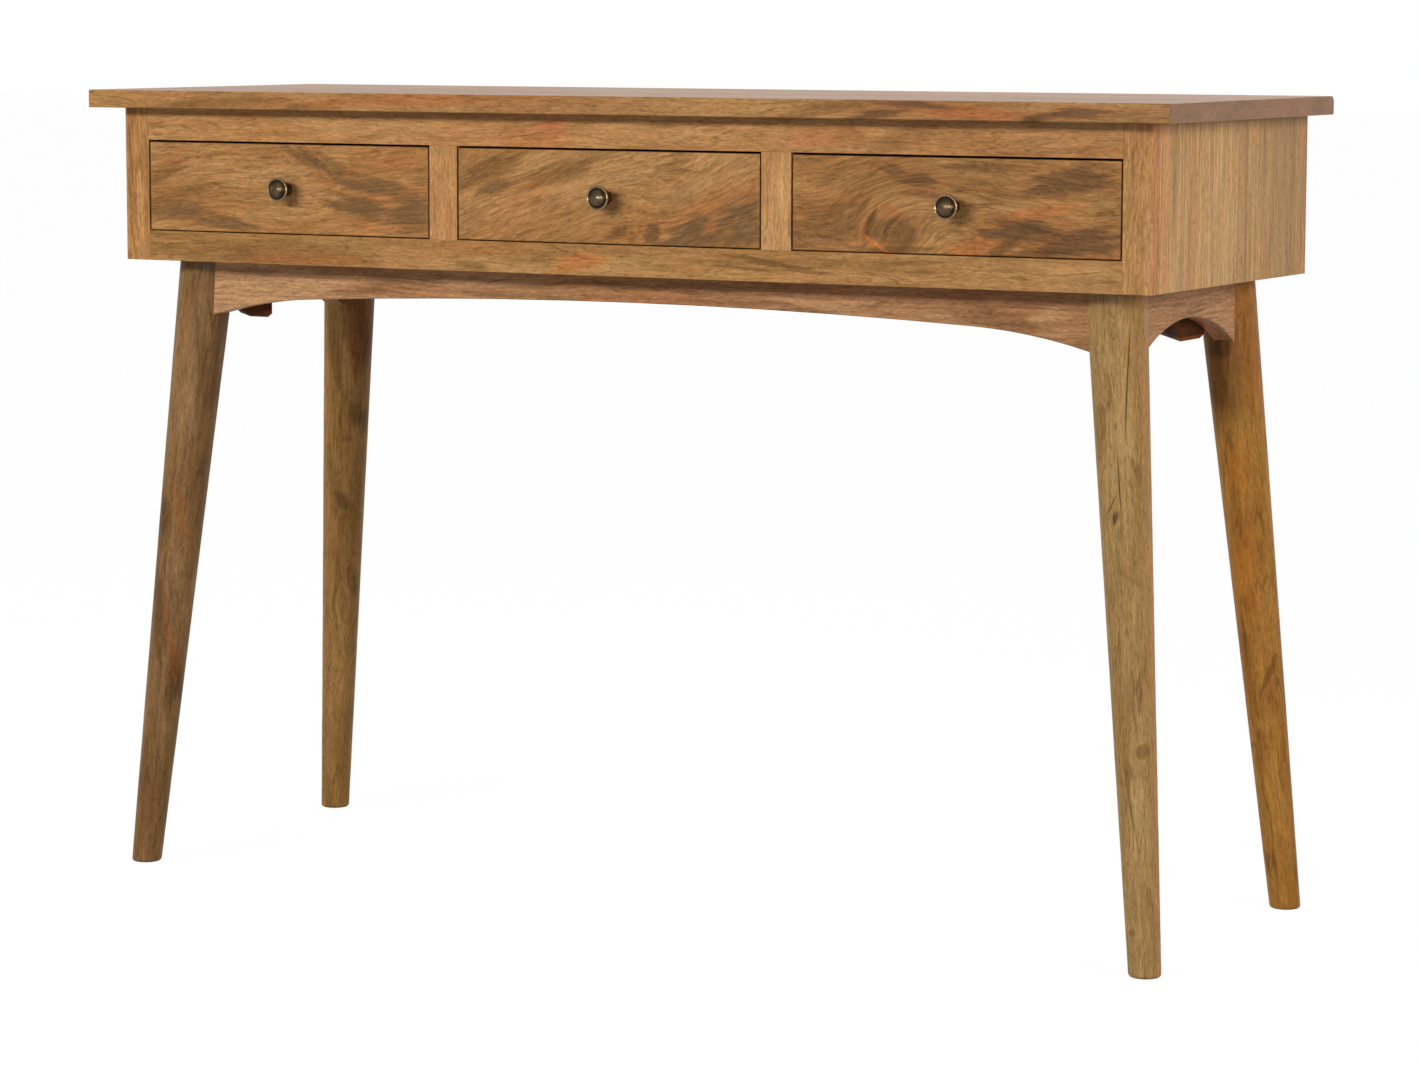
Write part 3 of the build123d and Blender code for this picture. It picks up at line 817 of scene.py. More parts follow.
def settle(name: str, mesh: bpy.types.Mesh, body: str, slot: str, *nodes: str) -> None:
    """Puts a finished mesh in the scene as a piece of the desk.

    Args:
        name: Name of the piece.
        mesh: Its mesh, in place.
        body: The body it rides on.
        slot: Not used.
        nodes: CAD nodes that it stands for.
    """
    piece = stand(name, mesh)
    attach(piece, body)
    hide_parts(*nodes)
    LOG.info("%s: %d faces", name, len(mesh.polygons))


def plain_mesh(carrier: bpy.types.Object, name: str) -> bpy.types.Mesh:
    """Turns an object and its modifiers into a plain mesh, and removes the object.

    Args:
        carrier: The object with live modifiers.
        name: Name of the new mesh.

    Returns:
        The finished mesh.
    """
    bpy.context.view_layer.update()
    seen = carrier.evaluated_get(bpy.context.evaluated_depsgraph_get())
    mesh = bpy.data.meshes.new_from_object(seen)
    mesh.name = name
    carrier.modifiers.clear()
    bpy.data.objects.remove(carrier, do_unlink=True)
    return mesh


def merged(node: str) -> bmesh.types.BMesh:
    """Copies a CAD node's mesh with its loose triangles joined.

    Args:
        node: The node's name.

    Returns:
        The copy, to be freed after use.
    """
    work = bmesh.new()
    work.from_mesh(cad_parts[node].data)
    bmesh.ops.remove_doubles(work, verts=work.verts, dist=MERGE)
    return work


def softened(node: str, round_over: float, material: Material) -> bpy.types.Mesh:
    """Copies a board and eases its long edges.

    Args:
        node: The CAD node to copy.
        round_over: Width of the easing in metres.
        material: Finish of the copy.

    Returns:
        The eased board.
    """
    shortest, flattest = 0.008, 0.35
    work = merged(node)
    bmesh.ops.dissolve_limit(work, angle_limit=0.01, verts=work.verts, edges=work.edges)
    edges = [
        edge
        for edge in work.edges
        if len(edge.link_faces) == 2 and edge.calc_length() > shortest and edge.calc_face_angle() > flattest
    ]
    bmesh.ops.bevel(
        work, geom=edges, offset=round_over, segments=2, profile=0.6, affect="EDGES", clamp_overlap=False
    )
    bmesh.ops.remove_doubles(work, verts=work.verts, dist=MERGE)
    bmesh.ops.dissolve_degenerate(work, edges=work.edges, dist=MERGE)
    mesh = bpy.data.meshes.new(node)
    work.to_mesh(mesh)
    work.free()
    mesh.shade_smooth()
    mesh.set_sharp_from_angle(angle=0.7)
    mesh.materials.clear()
    mesh.materials.append(material)
    carrier = stand(node, mesh)
    carrier.modifiers.new("even_light", "WEIGHTED_NORMAL").keep_sharp = True
    return plain_mesh(carrier, f"{node}_eased")


@dataclass
class Board:
    """One eased board of the desk, with its own figure."""

    node: str
    finish: WoodFinish
    slot: str
    round_over: float = 0.00035
    body: str = "desk"

    def build(self) -> None:
        """Builds the eased board in place of its CAD node."""
        mesh = softened(self.node, self.round_over, self.finish.material())
        settle(f"{self.node}_board", mesh, self.body, self.slot, self.node)


@dataclass
class Top:
    """The slab of the desk."""

    round_over: float = 0.0006
    stain_depth: float = 0.02

    def build(self) -> None:
        """Builds the slab with its figured front edge and upper face."""
        edge = spots(
            TOP_EDGE,
            (DARK, -0.420, 0.749, 0.090, 0.005, 0.05, 0.45, 1.1),
            (DARK, -0.310, 0.747, 0.050, 0.004, 0.10, 0.60, 1.1),
            (BLUSH, -0.230, 0.753, 0.130, 0.006, 0.02, 0.45, 1.0),
            (LIGHT, 0.045, 0.752, 0.150, 0.008, 0.0, 0.45, 1.0),
            (DARK, 0.235, 0.752, 0.055, 0.006, 0.15, 0.55, 1.0),
            (SPALT, 0.290, 0.748, 0.035, 0.005, 0.10, 0.75, 1.0),
            (SPALT, 0.330, 0.756, 0.050, 0.004, -0.08, 0.75, 1.0),
            (EMBER, 0.385, 0.750, 0.060, 0.007, -0.05, 0.70, 0.8),
            (SPALT, 0.440, 0.746, 0.030, 0.005, 0.20, 0.85, 0.9),
            (SPALT, 0.480, 0.751, 0.030, 0.006, 0.0, 0.75, 1.0),
            (DARK, 0.530, 0.749, 0.035, 0.008, 0.0, 0.45, 1.0),
        )
        rows = (
            (DARK, -0.300, 0.110, 0.200, 0.022, 0.45),
            (BLUSH, 0.180, 0.020, 0.220, 0.030, 0.45),
            (SPALT, 0.400, 0.100, 0.110, 0.018, 0.45),
            (SPALT, -0.120, -0.080, 0.100, 0.014, 0.40),
            (LIGHT, -0.420, -0.040, 0.160, 0.035, 0.60),
            (SPALT, -0.250, 0.040, 0.110, 0.012, 0.50),
            (DARK, 0.060, 0.135, 0.140, 0.012, 0.60),
            (LIGHT, 0.150, -0.110, 0.160, 0.026, 0.55),
            (SPALT, 0.385, -0.072, 0.080, 0.010, 0.50),
            (EMBER, -0.090, 0.065, 0.070, 0.010, 0.40),
            (BLUSH, -0.380, -0.130, 0.130, 0.020, 0.50),
        )
        upper = tuple(
            Patch(stain, (x, y, TOP_FACE), (wide, deep, self.stain_depth), 0.0, strength, 1.0)
            for stain, x, y, wide, deep, strength in rows
        )
        finish = WoodFinish(
            "top_wood",
            EDGE,
            Grain.LENGTHWAYS.value,
            1.3,
            streaks=0.45,
            roughness=0.34,
            sheen=0.15,
            staves=Staves((0.0, 1.0, 0.0), 0.095, 0.12),
            knots=(
                Knot((-0.205, 0.035, TOP_FACE), 0.010, 0.026, 0.70, 0.7),
                Knot((0.330, -0.075, TOP_FACE), 0.007, 0.020, 0.70, 0.7),
            ),
            patches=edge + upper,
        )
        Board("desk_top", finish, "top_wood", self.round_over).build()


@dataclass
class FaceFrame:
    """Stiles, rails and dividers round the drawers."""

    def build(self) -> None:
        """Builds the frame, each board cut from its own plank."""
        top = spots(
            FRONT_FACE,
            (LIGHT, 0.030, 0.727, 0.120, 0.012, 0.0, 0.40),
            (BLUSH, -0.059, 0.729, 0.020, 0.018, 0.2, 0.75),
            (BLUSH, 0.230, 0.728, 0.050, 0.010, 0.1, 0.5),
            (DARK, 0.302, 0.727, 0.040, 0.012, 0.3, 0.5),
            (DARK, 0.420, 0.716, 0.030, 0.004, 0.0, 0.5),
        )
        low = spots(
            FRONT_FACE,
            (EMBER, -0.028, 0.608, 0.030, 0.010, 0.2, 0.45),
            (DARK, 0.150, 0.6165, 0.036, 0.0026, -0.12, 0.80),
            (DARK, 0.178, 0.6115, 0.044, 0.0028, -0.10, 0.80),
            (DARK, 0.140, 0.6080, 0.036, 0.0022, -0.08, 0.65),
            (DARK, 0.205, 0.6065, 0.030, 0.0022, -0.08, 0.60),
            (DARK, 0.316, 0.6165, 0.024, 0.0020, 0.05, 0.55),
            (DARK, 0.320, 0.6095, 0.022, 0.0018, 0.0, 0.55),
            (DARK, -0.380, 0.609, 0.170, 0.016, 0.0, 0.5),
            (EMBER, -0.330, 0.603, 0.100, 0.006, 0.0, 0.18),
        )
        olive = spots(
            FRONT_FACE,
            (DARK, -0.531, 0.680, 0.004, 0.050, 0.0, 0.55),
            (LIGHT, -0.520, 0.640, 0.006, 0.040, 0.0, 0.60),
            (DARK, -0.514, 0.700, 0.003, 0.030, 0.0, 0.45),
        )
        eye = Knot((0.318, FRONT_FACE, 0.6130), 0.003, 0.008, 0.55, 0.45)
        salmon = Patch(BLUSH, (0.5385, -0.161, 0.66), (0.004, 0.011, 0.2), 0.0, 0.70, 0.3)
        across, upright = Grain.LENGTHWAYS.value, Grain.UPRIGHT.value
        boards = (
            ("top_rail", GOLDEN, across, 2.1, {"patches": top}),
            ("bottom_rail", GOLDEN_BROWN, across, 3.7, {"patches": low, "knots": (eye,)}),
            ("left_stile", GOLDEN, upright, 4.3, {"streaks": 0.6, "lines": 0.3, "patches": olive}),
            ("right_stile", GOLDEN, upright, 5.9, {"streaks": 0.5, "lines": 0.3, "patches": (salmon,)}),
            ("left_divider", GOLDEN_PALE, upright, 6.1, {"streaks": 0.3}),
            ("right_divider", GOLDEN_PALE, upright, 7.7, {"streaks": 0.3}),
        )
        for node, tones, turn, seed, figure in boards:
            finish = WoodFinish(f"{node}_wood", tones, turn, seed, **figure)
            Board(node, finish, "frame_wood").build()


@dataclass
class Case:
    """Side panels, back and the boards inside."""

    side_stave: float = 0.045
    back_stave: float = 0.060

    def build(self) -> None:
        """Builds the panels and dresses the boards inside."""
        self._side("left", -SIDE_FACE, 11.0)
        self._side("right", SIDE_FACE, 12.4)
        self._back()
        lengthways = raw_wood("inner_wood_lengthways", Grain.LENGTHWAYS, 14.0)
        deep = raw_wood("inner_wood_deep", Grain.FRONT_TO_BACK, 15.0)
        for node in ("bottom_board", "drawer_stops", *(f"{bay}_kicker" for bay in BAYS)):
            wear(node, lengthways)
        for side in ("left", "right"):
            for node in (f"{side}_partition", *(f"{bay}_drawer_{side}_runner" for bay in BAYS)):
                wear(node, deep)

    def _side(self, side: str, face: float, seed: float) -> None:
        """Builds a side panel, glued up from upright strips.

        Args:
            side: Which end of the desk.
            face: Where its outer face lies, from left to right.
            seed: Place of its figure in the plank.
        """
        finish = WoodFinish(
            f"{side}_side_wood",
            STRIPED,
            Grain.UPRIGHT.value,
            seed,
            streaks=0.60,
            blush=0.70,
            lines=0.30,
            feathers=0.0,
            wander=0.004,
            fineness=2.2,
            length=3.0,
            patches=(
                Patch(BLUSH, (face, -0.143, 0.66), (0.03, 0.010, 0.20), 0.0, 0.50, 0.5),
                Patch(DARK, (face, -0.120, 0.70), (0.03, 0.012, 0.06), 0.0, 0.45, 0.9),
                Patch(DARK, (face, 0.045, 0.66), (0.03, 0.004, 0.12), 0.0, 0.60, 0.5),
                Patch(LIGHT, (face, -0.020, 0.66), (0.03, 0.050, 0.12), 0.0, 0.60, 0.8),
                # Painted shade darkens the rear part of each side panel.
                Patch(DARK, (face, 0.145, 0.66), (0.03, 0.070, 0.20), 0.0, 0.40, 0.8),
            ),
            staves=Staves((0.0, 1.0, 0.0), self.side_stave, 0.05),
        )
        Board(f"{side}_side_panel", finish, "side_wood").build()

    def _back(self) -> None:
        """Builds the back panel, glued up from long strips."""
        marks = spots(
            BACK_FACE,
            (SPALT, -0.330, 0.690, 0.120, 0.012, -0.10, 0.60, 1.0),
            (BLUSH, -0.120, 0.650, 0.150, 0.014, 0.06, 0.55, 1.0),
            (DARK, 0.140, 0.700, 0.140, 0.010, 0.04, 0.55, 1.0),
            (SPALT, 0.390, 0.640, 0.090, 0.010, 0.12, 0.60, 1.0),
        )
        finish = WoodFinish(
            "back_panel_wood",
            GOLDEN,
            Grain.LENGTHWAYS.value,
            13.0,
            streaks=0.4,
            patches=marks,
            staves=Staves((0.0, 0.0, 1.0), self.back_stave, 0.07),
        )
        Board("back_panel", finish, "panel_wood").build()


@dataclass
class Knob:
    """A turned brass knob on a drawer front, its profile given as radius, height and darkening: tarnished in
    the groove and round the stem, and on the dome partly tarnished, partly a painted dark reflection.
    """

    bay: str
    height: float = 0.66775
    sides: int = 64
    profile: tuple[Triple, ...] = (
        (0.0062, 0.0000, 0.6),
        (0.0062, 0.0014, 0.5),
        (0.0052, 0.0026, 0.8),
        (0.0046, 0.0038, 0.8),
        (0.0045, 0.0092, 0.7),
        (0.0056, 0.0116, 0.6),
        (0.0086, 0.0134, 0.4),
        (0.0109, 0.0143, 0.2),
        (0.0115, 0.0151, 0.1),
        (0.0115, 0.0162, 0.0),
        (0.0112, 0.0169, 0.0),
        (0.0106, 0.0172, 0.0),
        (0.0100, 0.0171, 0.1),
        (0.0094, 0.0166, 0.6),
        (0.0090, 0.0164, 1.0),
        (0.0086, 0.0166, 1.0),
        # From here to the tip the dome is darkened, partly tarnish and partly painted dark reflection.
        (0.0082, 0.0170, 0.9),
        (0.0076, 0.0175, 0.8),
        (0.0066, 0.0182, 0.7),
        (0.0054, 0.0188, 0.65),
        (0.0040, 0.0193, 0.6),
        (0.0026, 0.0196, 0.6),
        (0.0012, 0.0198, 0.6),
    )

    def build(self, material: Material) -> None:
        """Turns the knob and sets it on its drawer.

        Args:
            material: The brass.
        """
        centre = BAYS[self.bay]
        ends = (self.profile[0], self.profile[-1])
        points: list[Triple] = []
        for radius, out, _ in self.profile:
            for side in range(self.sides):
                angle = 2 * math.pi * side / self.sides
                x = centre + radius * math.cos(angle)
                points.append((x, FRONT_FACE - out, self.height + radius * math.sin(angle)))
        points += [(centre, FRONT_FACE - out, self.height) for _, out, _ in ends]
        tarnish_and_dark_reflection = [age for _, _, age in self.profile for _ in range(self.sides)]
        tarnish_and_dark_reflection += [age for _, _, age in ends]
        last = (len(self.profile) - 1) * self.sides
        faces: list[tuple[int, ...]] = []
        for side in range(self.sides):
            following = (side + 1) % self.sides
            for first in range(0, last, self.sides):
                second = first + self.sides
                faces.append((first + side, first + following, second + following, second + side))
            faces.append((len(points) - 2, following, side))
            faces.append((len(points) - 1, last + side, last + following))
        name = f"{self.bay}_turned_knob"
        mesh = bpy.data.meshes.new(name)
        mesh.from_pydata(points, [], faces)
        mesh.attributes.new("tarnish_and_dark_reflection", "FLOAT", "POINT").data.foreach_set("value", tarnish_and_dark_reflection)
        mesh.shade_smooth()
        mesh.materials.append(material)
        settle(name, mesh, f"{self.bay}_drawer", "antique_brass", f"{self.bay}_knob")


@dataclass
class Drawer:
    """One drawer with its figured front and its knob."""

    bay: str
    finish: WoodFinish
    round_over: float = 0.0005

    def build(self, brass: Material, steel: Material) -> None:
        """Builds the front and the knob, and dresses the box.

        Args:
            brass: Metal of the knob.
            steel: Metal of its screw.
        """
        body = f"{self.bay}_drawer"
        Board(f"{body}_front", self.finish, "drawer_front_wood", self.round_over, body).build()
        Knob(self.bay).build(brass)
        deep = raw_wood(f"{body}_side_wood", Grain.FRONT_TO_BACK, 21.0 + BAYS[self.bay])
        wide = raw_wood(f"{body}_bottom_wood", Grain.LENGTHWAYS, 25.0 + BAYS[self.bay])
        wear(f"{body}_left_side", deep)
        wear(f"{body}_right_side", deep)
        wear(f"{body}_back", wide)
        wear(f"{body}_bottom", wide)
        wear(f"{self.bay}_knob_screw", steel)


def drawer_finishes() -> dict[str, WoodFinish]:
    """Gives the three fronts their figure.

    Returns:
        The finish of each bay's front.
    """
    left = spots(
        FRONT_FACE,
        (BLUSH, -0.480, 0.694, 0.036, 0.012, 0.35, 0.40),
        (DARK, -0.488, 0.684, 0.028, 0.009, 0.40, 0.70),
        (DARK, -0.470, 0.662, 0.046, 0.007, 0.20, 0.60),
        (SPALT, -0.470, 0.645, 0.046, 0.012, -0.10, 0.75),
        (SPALT, -0.415, 0.634, 0.040, 0.007, -0.12, 0.75),
        (BLUSH, -0.235, 0.697, 0.040, 0.010, -0.10, 0.45),
        (SPALT, -0.325, 0.697, 0.028, 0.010, -0.50, 0.75),
        (SPALT, -0.290, 0.684, 0.042, 0.011, -0.50, 0.75),
        (SPALT, -0.235, 0.669, 0.058, 0.011, -0.20, 0.78),
        (BLUSH, -0.258, 0.6605, 0.028, 0.0025, 0.08, 0.70),
        (SPALT, -0.262, 0.652, 0.052, 0.012, -0.20, 0.80),
        (SPALT, -0.212, 0.646, 0.030, 0.022, 0.20, 0.78),
        (BLUSH, -0.240, 0.633, 0.045, 0.004, 0.10, 0.60),
    )
    middle = spots(
        FRONT_FACE,
        (DARK, -0.125, 0.691, 0.045, 0.013, 0.35, 0.75),
        (DARK, -0.050, 0.690, 0.048, 0.011, 0.30, 0.70),
        (SPALT, -0.116, 0.676, 0.024, 0.007, 0.15, 0.60),
        (BLUSH, -0.090, 0.664, 0.040, 0.014, 0.50, 0.40),
        (EMBER, 0.098, 0.659, 0.040, 0.007, 0.32, 0.50),
        (SPALT, 0.135, 0.646, 0.034, 0.028, 0.25, 0.90),
        (SPALT, 0.090, 0.638, 0.032, 0.018, 0.25, 0.88),
        (EMBER, 0.108, 0.643, 0.010, 0.006, 0.40, 0.50),
        (EMBER, 0.036, 0.636, 0.030, 0.010, 0.10, 0.45),
        (SPALT, 0.050, 0.636, 0.010, 0.013, 0.00, 0.80),
        (DARK, 0.014, 0.637, 0.014, 0.008, 0.30, 0.70),
        (DARK, 0.027, 0.633, 0.004, 0.010, 0.00, 0.60),
    )
    right = spots(
        FRONT_FACE,
        (SPALT, 0.222, 0.648, 0.050, 0.026, 0.20, 0.50),
        (SPALT, 0.317, 0.690, 0.024, 0.007, -0.15, 0.75),
        (SPALT, 0.291, 0.699, 0.014, 0.006, -0.30, 0.60),
        (SPALT, 0.323, 0.678, 0.024, 0.004, -0.10, 0.55),
        (DARK, 0.385, 0.703, 0.050, 0.006, -0.05, 0.55),
        (EMBER, 0.428, 0.663, 0.048, 0.007, 0.20, 0.55),
        (SPALT, 0.462, 0.692, 0.046, 0.014, 0.15, 0.80),
        (EMBER, 0.375, 0.635, 0.036, 0.011, 0.35, 0.60),
        (SPALT, 0.420, 0.648, 0.044, 0.012, -0.05, 0.90),
        (SPALT, 0.475, 0.641, 0.044, 0.015, 0.10, 0.80),
        (DARK, 0.398, 0.633, 0.024, 0.006, 0.50, 0.75),
        (DARK, 0.430, 0.629, 0.050, 0.004, 0.10, 0.65),
        (SPALT, 0.290, 0.645, 0.026, 0.017, 0.00, 0.50),
        (DARK, 0.269, 0.652, 0.017, 0.005, 1.10, 0.85),
        (DARK, 0.262, 0.666, 0.012, 0.003, 0.80, 0.60),
        (EMBER, 0.290, 0.6632, 0.014, 0.003, -0.45, 0.55),
        (DARK, 0.300, 0.6290, 0.040, 0.003, 0.03, 0.65),
        (EMBER, 0.272, 0.6345, 0.019, 0.0024, -0.55, 0.95, 0.4),
    )
    knot = Knot((0.2920, FRONT_FACE, 0.6435), 0.015, 0.030, 0.72, 0.75, 1.1)
    level, aslant = (0.0, 0.05, 0.0), (0.0, 0.30, 0.0)
    figures = {
        "left": (FIGURED, level, 31.0, 0.50, {"lines": 0.30, "wander": 0.018, "patches": left}),
        "middle": (FIGURED, aslant, 32.5, 0.50, {"lines": 0.30, "wander": 0.022, "patches": middle}),
        "right": (
            FIGURED_BROWN,
            level,
            33.2,
            0.55,
            {"lines": 0.32, "wander": 0.02, "curl": -0.20, "patches": right, "knots": (knot,)},
        ),
    }
    return {
        bay: WoodFinish(f"{bay}_drawer_front_wood", tones, turn, seed, streaks, **figure)
        for bay, (tones, turn, seed, streaks, figure) in figures.items()
    }


class Maker(Graph):
    """A node tree that makes a piece by rule, with named inputs for its sizes."""

    def __init__(self, name: str, inputs: dict[str, tuple[str, ...]]) -> None:
        """Makes the tree and its inputs.

        Args:
            name: Name of the tree.
            inputs: Names of the inputs of each kind, such as Float.
        """
        super().__init__(bpy.data.node_groups.new(name, "GeometryNodeTree"))
        face = self.tree.interface
        face.new_socket("Geometry", in_out="OUTPUT", socket_type="NodeSocketGeometry")
        for kind, titles in inputs.items():
            for title in titles:
                face.new_socket(title, in_out="INPUT", socket_type=f"NodeSocket{kind}")
        self.given = self.add("NodeGroupInput").outputs
        self.place = self.add("GeometryNodeInputPosition").outputs[0]

    def shape(self, sides: int, rings: object, position: object) -> Socket:
        """Shapes a cylinder of radius 1 that reaches from -0.5 to 0.5.

        Args:
            sides: Points round the cylinder.
            rings: Steps along it.
            position: Where each of its points goes.

        Returns:
            The shape's socket.
        """
        blank = self.add("GeometryNodeMeshCylinder", fill_type="NGON")
        blank.inputs["Vertices"].default_value = sides
        self.feed(blank.inputs["Side Segments"], rings)
        blank.inputs["Radius"].default_value = 1.0
        blank.inputs["Depth"].default_value = 1.0
        move = self.add("GeometryNodeSetPosition")
        self.feed(move.inputs["Geometry"], blank.outputs["Mesh"])
        self.feed(move.inputs["Position"], position)
        return move.outputs[0]

    def close(self, geometry: object) -> None:
        """Makes copies real, gives them their finish and ends the tree.

        Args:
            geometry: The socket of what was made.
        """
        real = self.add("GeometryNodeRealizeInstances")
        self.feed(real.inputs[0], geometry)
        paint = self.add("GeometryNodeSetMaterial")
        self.feed(paint.inputs["Geometry"], real.outputs[0])
        self.feed(paint.inputs["Material"], self.given["Finish"])
        self.feed(self.add("NodeGroupOutput").inputs[0], paint.outputs[0])

    def make(self, start: bpy.types.Mesh, crease: float, **values: object) -> bpy.types.Mesh:
        """Runs the tree.

        Args:
            start: The mesh that the tree is given.
            crease: Angle in radians past which an edge stays sharp.
            values: What each input is set to, by its name in small letters.

        Returns:
            The finished mesh.
        """
        carrier = stand(start.name, start)
        modifier = carrier.modifiers.new("maker", "NODES")
        modifier.node_group = self.tree
        sockets = {item.name: item.identifier for item in self.tree.interface.items_tree}
        for name, value in values.items():
            modifier[sockets[name.replace("_", " ").title()]] = value
        mesh = plain_mesh(carrier, start.name)
        mesh.shade_smooth()
        mesh.set_sharp_from_angle(angle=crease)
        return mesh


@dataclass
class TurnedLegs:
    """Four tapered legs that splay both ways, made by one node tree."""

    height: float = 0.596
    top: tuple[float, float] = (0.481, 0.126)
    foot: tuple[float, float] = (0.5344, 0.1682)
    top_radius: float = 0.027
    foot_radius: float = 0.0145
    foot_round: float = 0.003
    hand_ripple: float = 0.0004
    sides: int = 72
    rings: int = 110
    crowding: float = 1.6
    crease: float = 0.9

    def maker(self) -> Maker:
        """Builds the tree that turns a leg.

        Returns:
            The tree, with named inputs for its sizes.
        """
        sizes = ("Height", "Top Radius", "Foot Radius", "Foot Round", "Hand Ripple")
        ends = ("Top Centre", "Foot Centre")
        graph = Maker("turned_leg", {"Float": sizes, "Vector": ends, "Material": ("Finish",)})
        given = graph.given
        rise = graph.math("MAXIMUM", graph.math("ADD", graph.axes(graph.place)[2], 0.5), 0.0)
        rise = graph.math("POWER", rise, self.crowding)
        wide = graph.blend(rise, given["Foot Radius"], given["Top Radius"])
        above = graph.math("MULTIPLY", rise, given["Height"])
        short = graph.math("SUBTRACT", 1.0, graph.math("DIVIDE", above, given["Foot Round"]))
        short = graph.math("MAXIMUM", short, 0.0)
        arc = graph.math("SUBTRACT", 1.0, graph.math("MULTIPLY", short, short))
        cut = graph.math("SUBTRACT", 1.0, graph.math("SQRT", graph.math("MAXIMUM", arc, 0.0)))
        radius = graph.math("SUBTRACT", wide, graph.math("MULTIPLY", cut, given["Foot Round"]))
        lump = graph.noise(graph.vector("ADD", graph.place, given["Foot Centre"]), (0.9, 0.9, 14.0))
        lump = graph.math("SUBTRACT", lump, 0.5)
        radius = graph.math("MULTIPLY_ADD", lump, given["Hand Ripple"], radius)
        lean = graph.vector("SUBTRACT", given["Top Centre"], given["Foot Centre"])
        axis = graph.vector("ADD", given["Foot Centre"], graph.vector("SCALE", lean, rise))
        flat = graph.vector("MULTIPLY", graph.place, (1.0, 1.0, 0.0))
        spread = graph.vector("ADD", axis, graph.vector("SCALE", flat, radius))
        graph.close(graph.shape(self.sides, self.rings, spread))
        return graph

    def ends(self, corner: str) -> tuple[Vector, Vector]:
        """Finds the middles of a leg's ends.

        Args:
            corner: The leg's corner.

        Returns:
            The middle of its top and of its foot.
        """
        x, y = CORNERS[corner]
        top = Vector((x * self.top[0], LEG_MIDDLE + y * self.top[1], self.height))
        foot = Vector((x * self.foot[0], LEG_MIDDLE + y * self.foot[1], 0.0))
        return top, foot

    def strip(self) -> StripAndWarmLight:
        """Finds the plane that splits a warmer strip off the right side of the front right leg: partly a
        seam of other wood, partly painted warm bounce light on that shaded side.

        Returns:
            The strip.
        """
        right = Vector((0.878, 0.479, 0.0))
        share = 0.6
        top, foot = self.ends("front_right")
        low = right.dot(foot) + share * self.foot_radius
        high = right.dot(top) + share * self.top_radius
        return StripAndWarmLight((right.x, right.y, -(high - low) / self.height), low, (172, 126, 79))

    def figures(self) -> dict[str, tuple[WoodTones, float, dict[str, object]]]:
        """Lists what each leg's wood shows.

        Returns:
            The tones, the seed and the figure of each corner's leg.
        """
        knots = (
            Knot((0.5287, -0.1549, 0.1985), 0.006, 0.010, 0.9),
            Knot((0.5265, -0.1660, 0.0400), 0.004, 0.008, 0.7),
        )
        cracks = (
            Patch(SPALT, (0.5032, -0.152, 0.525), (0.0008, 0.03, 0.070), 0.01, 0.80, 0.3),
            Patch(SPALT, (0.5010, -0.152, 0.428), (0.0008, 0.03, 0.034), 0.10, 0.80, 0.3),
            Patch(SPALT, (0.4935, -0.152, 0.410), (0.0007, 0.03, 0.014), -0.48, 0.75, 0.3),
            Patch(SPALT, (0.4980, -0.152, 0.400), (0.0030, 0.03, 0.007), -0.20, 0.75, 0.5),
            Patch(DARK, (0.5287, -0.155, 0.1985), (0.0050, 0.03, 0.007), 0.0, 0.60, 0.5),
        )
        amber = (
            # Painted shadow of the side apron on the rear right leg, partly a dark stain.
            Patch(SPALT, (0.4863, 0.120, 0.530), (0.014, 0.03, 0.013), 0.0, 0.80, 0.6),
            Patch(BLUSH, (0.5080, 0.135, 0.560), (0.022, 0.06, 0.070), 0.0, 0.75, 0.7),
            Patch(EMBER, (0.4985, 0.140, 0.420), (0.014, 0.04, 0.030), 0.0, 0.60, 0.8),
            Patch(EMBER, (0.5070, 0.140, 0.320), (0.016, 0.04, 0.050), 0.0, 0.55, 0.8),
            Patch(LIGHT, (0.5230, 0.150, 0.178), (0.014, 0.04, 0.006), 0.3, 0.60, 0.6),
            Patch(DARK, (0.5250, 0.150, 0.222), (0.003, 0.04, 0.022), -0.3, 0.70, 0.8),
            Patch(DARK, (0.5230, 0.150, 0.048), (0.004, 0.04, 0.014), 0.0, 0.60, 0.8),
        )
        dusky = (
            Patch(DARK, (-0.512, -0.150, 0.240), (0.012, 0.04, 0.080), 0.10, 0.60, 0.9),
            Patch(LIGHT, (-0.490, -0.150, 0.260), (0.008, 0.04, 0.070), 0.10, 0.70, 0.9),
            Patch(DARK, (-0.500, -0.150, 0.175), (0.010, 0.04, 0.024), 0.0, 0.60, 0.9),
            Patch(DARK, (-0.512, -0.150, 0.340), (0.012, 0.04, 0.030), 0.0, 0.65, 0.9),
            Patch(EMBER, (-0.493, -0.150, 0.345), (0.008, 0.04, 0.030), 0.10, 0.45, 0.9),
            Patch(EMBER, (-0.503, -0.150, 0.220), (0.005, 0.04, 0.050), 0.10, 0.50, 0.9),
            Patch(DARK, (-0.470, -0.140, 0.480), (0.006, 0.04, 0.110), 0.10, 0.35, 0.7),
            Patch(LIGHT, (-0.496, -0.150, 0.500), (0.012, 0.04, 0.080), 0.10, 0.70, 0.9),
            Patch(DARK, (-0.522, -0.165, 0.080), (0.012, 0.04, 0.060), 0.10, 0.25, 0.9),
        )
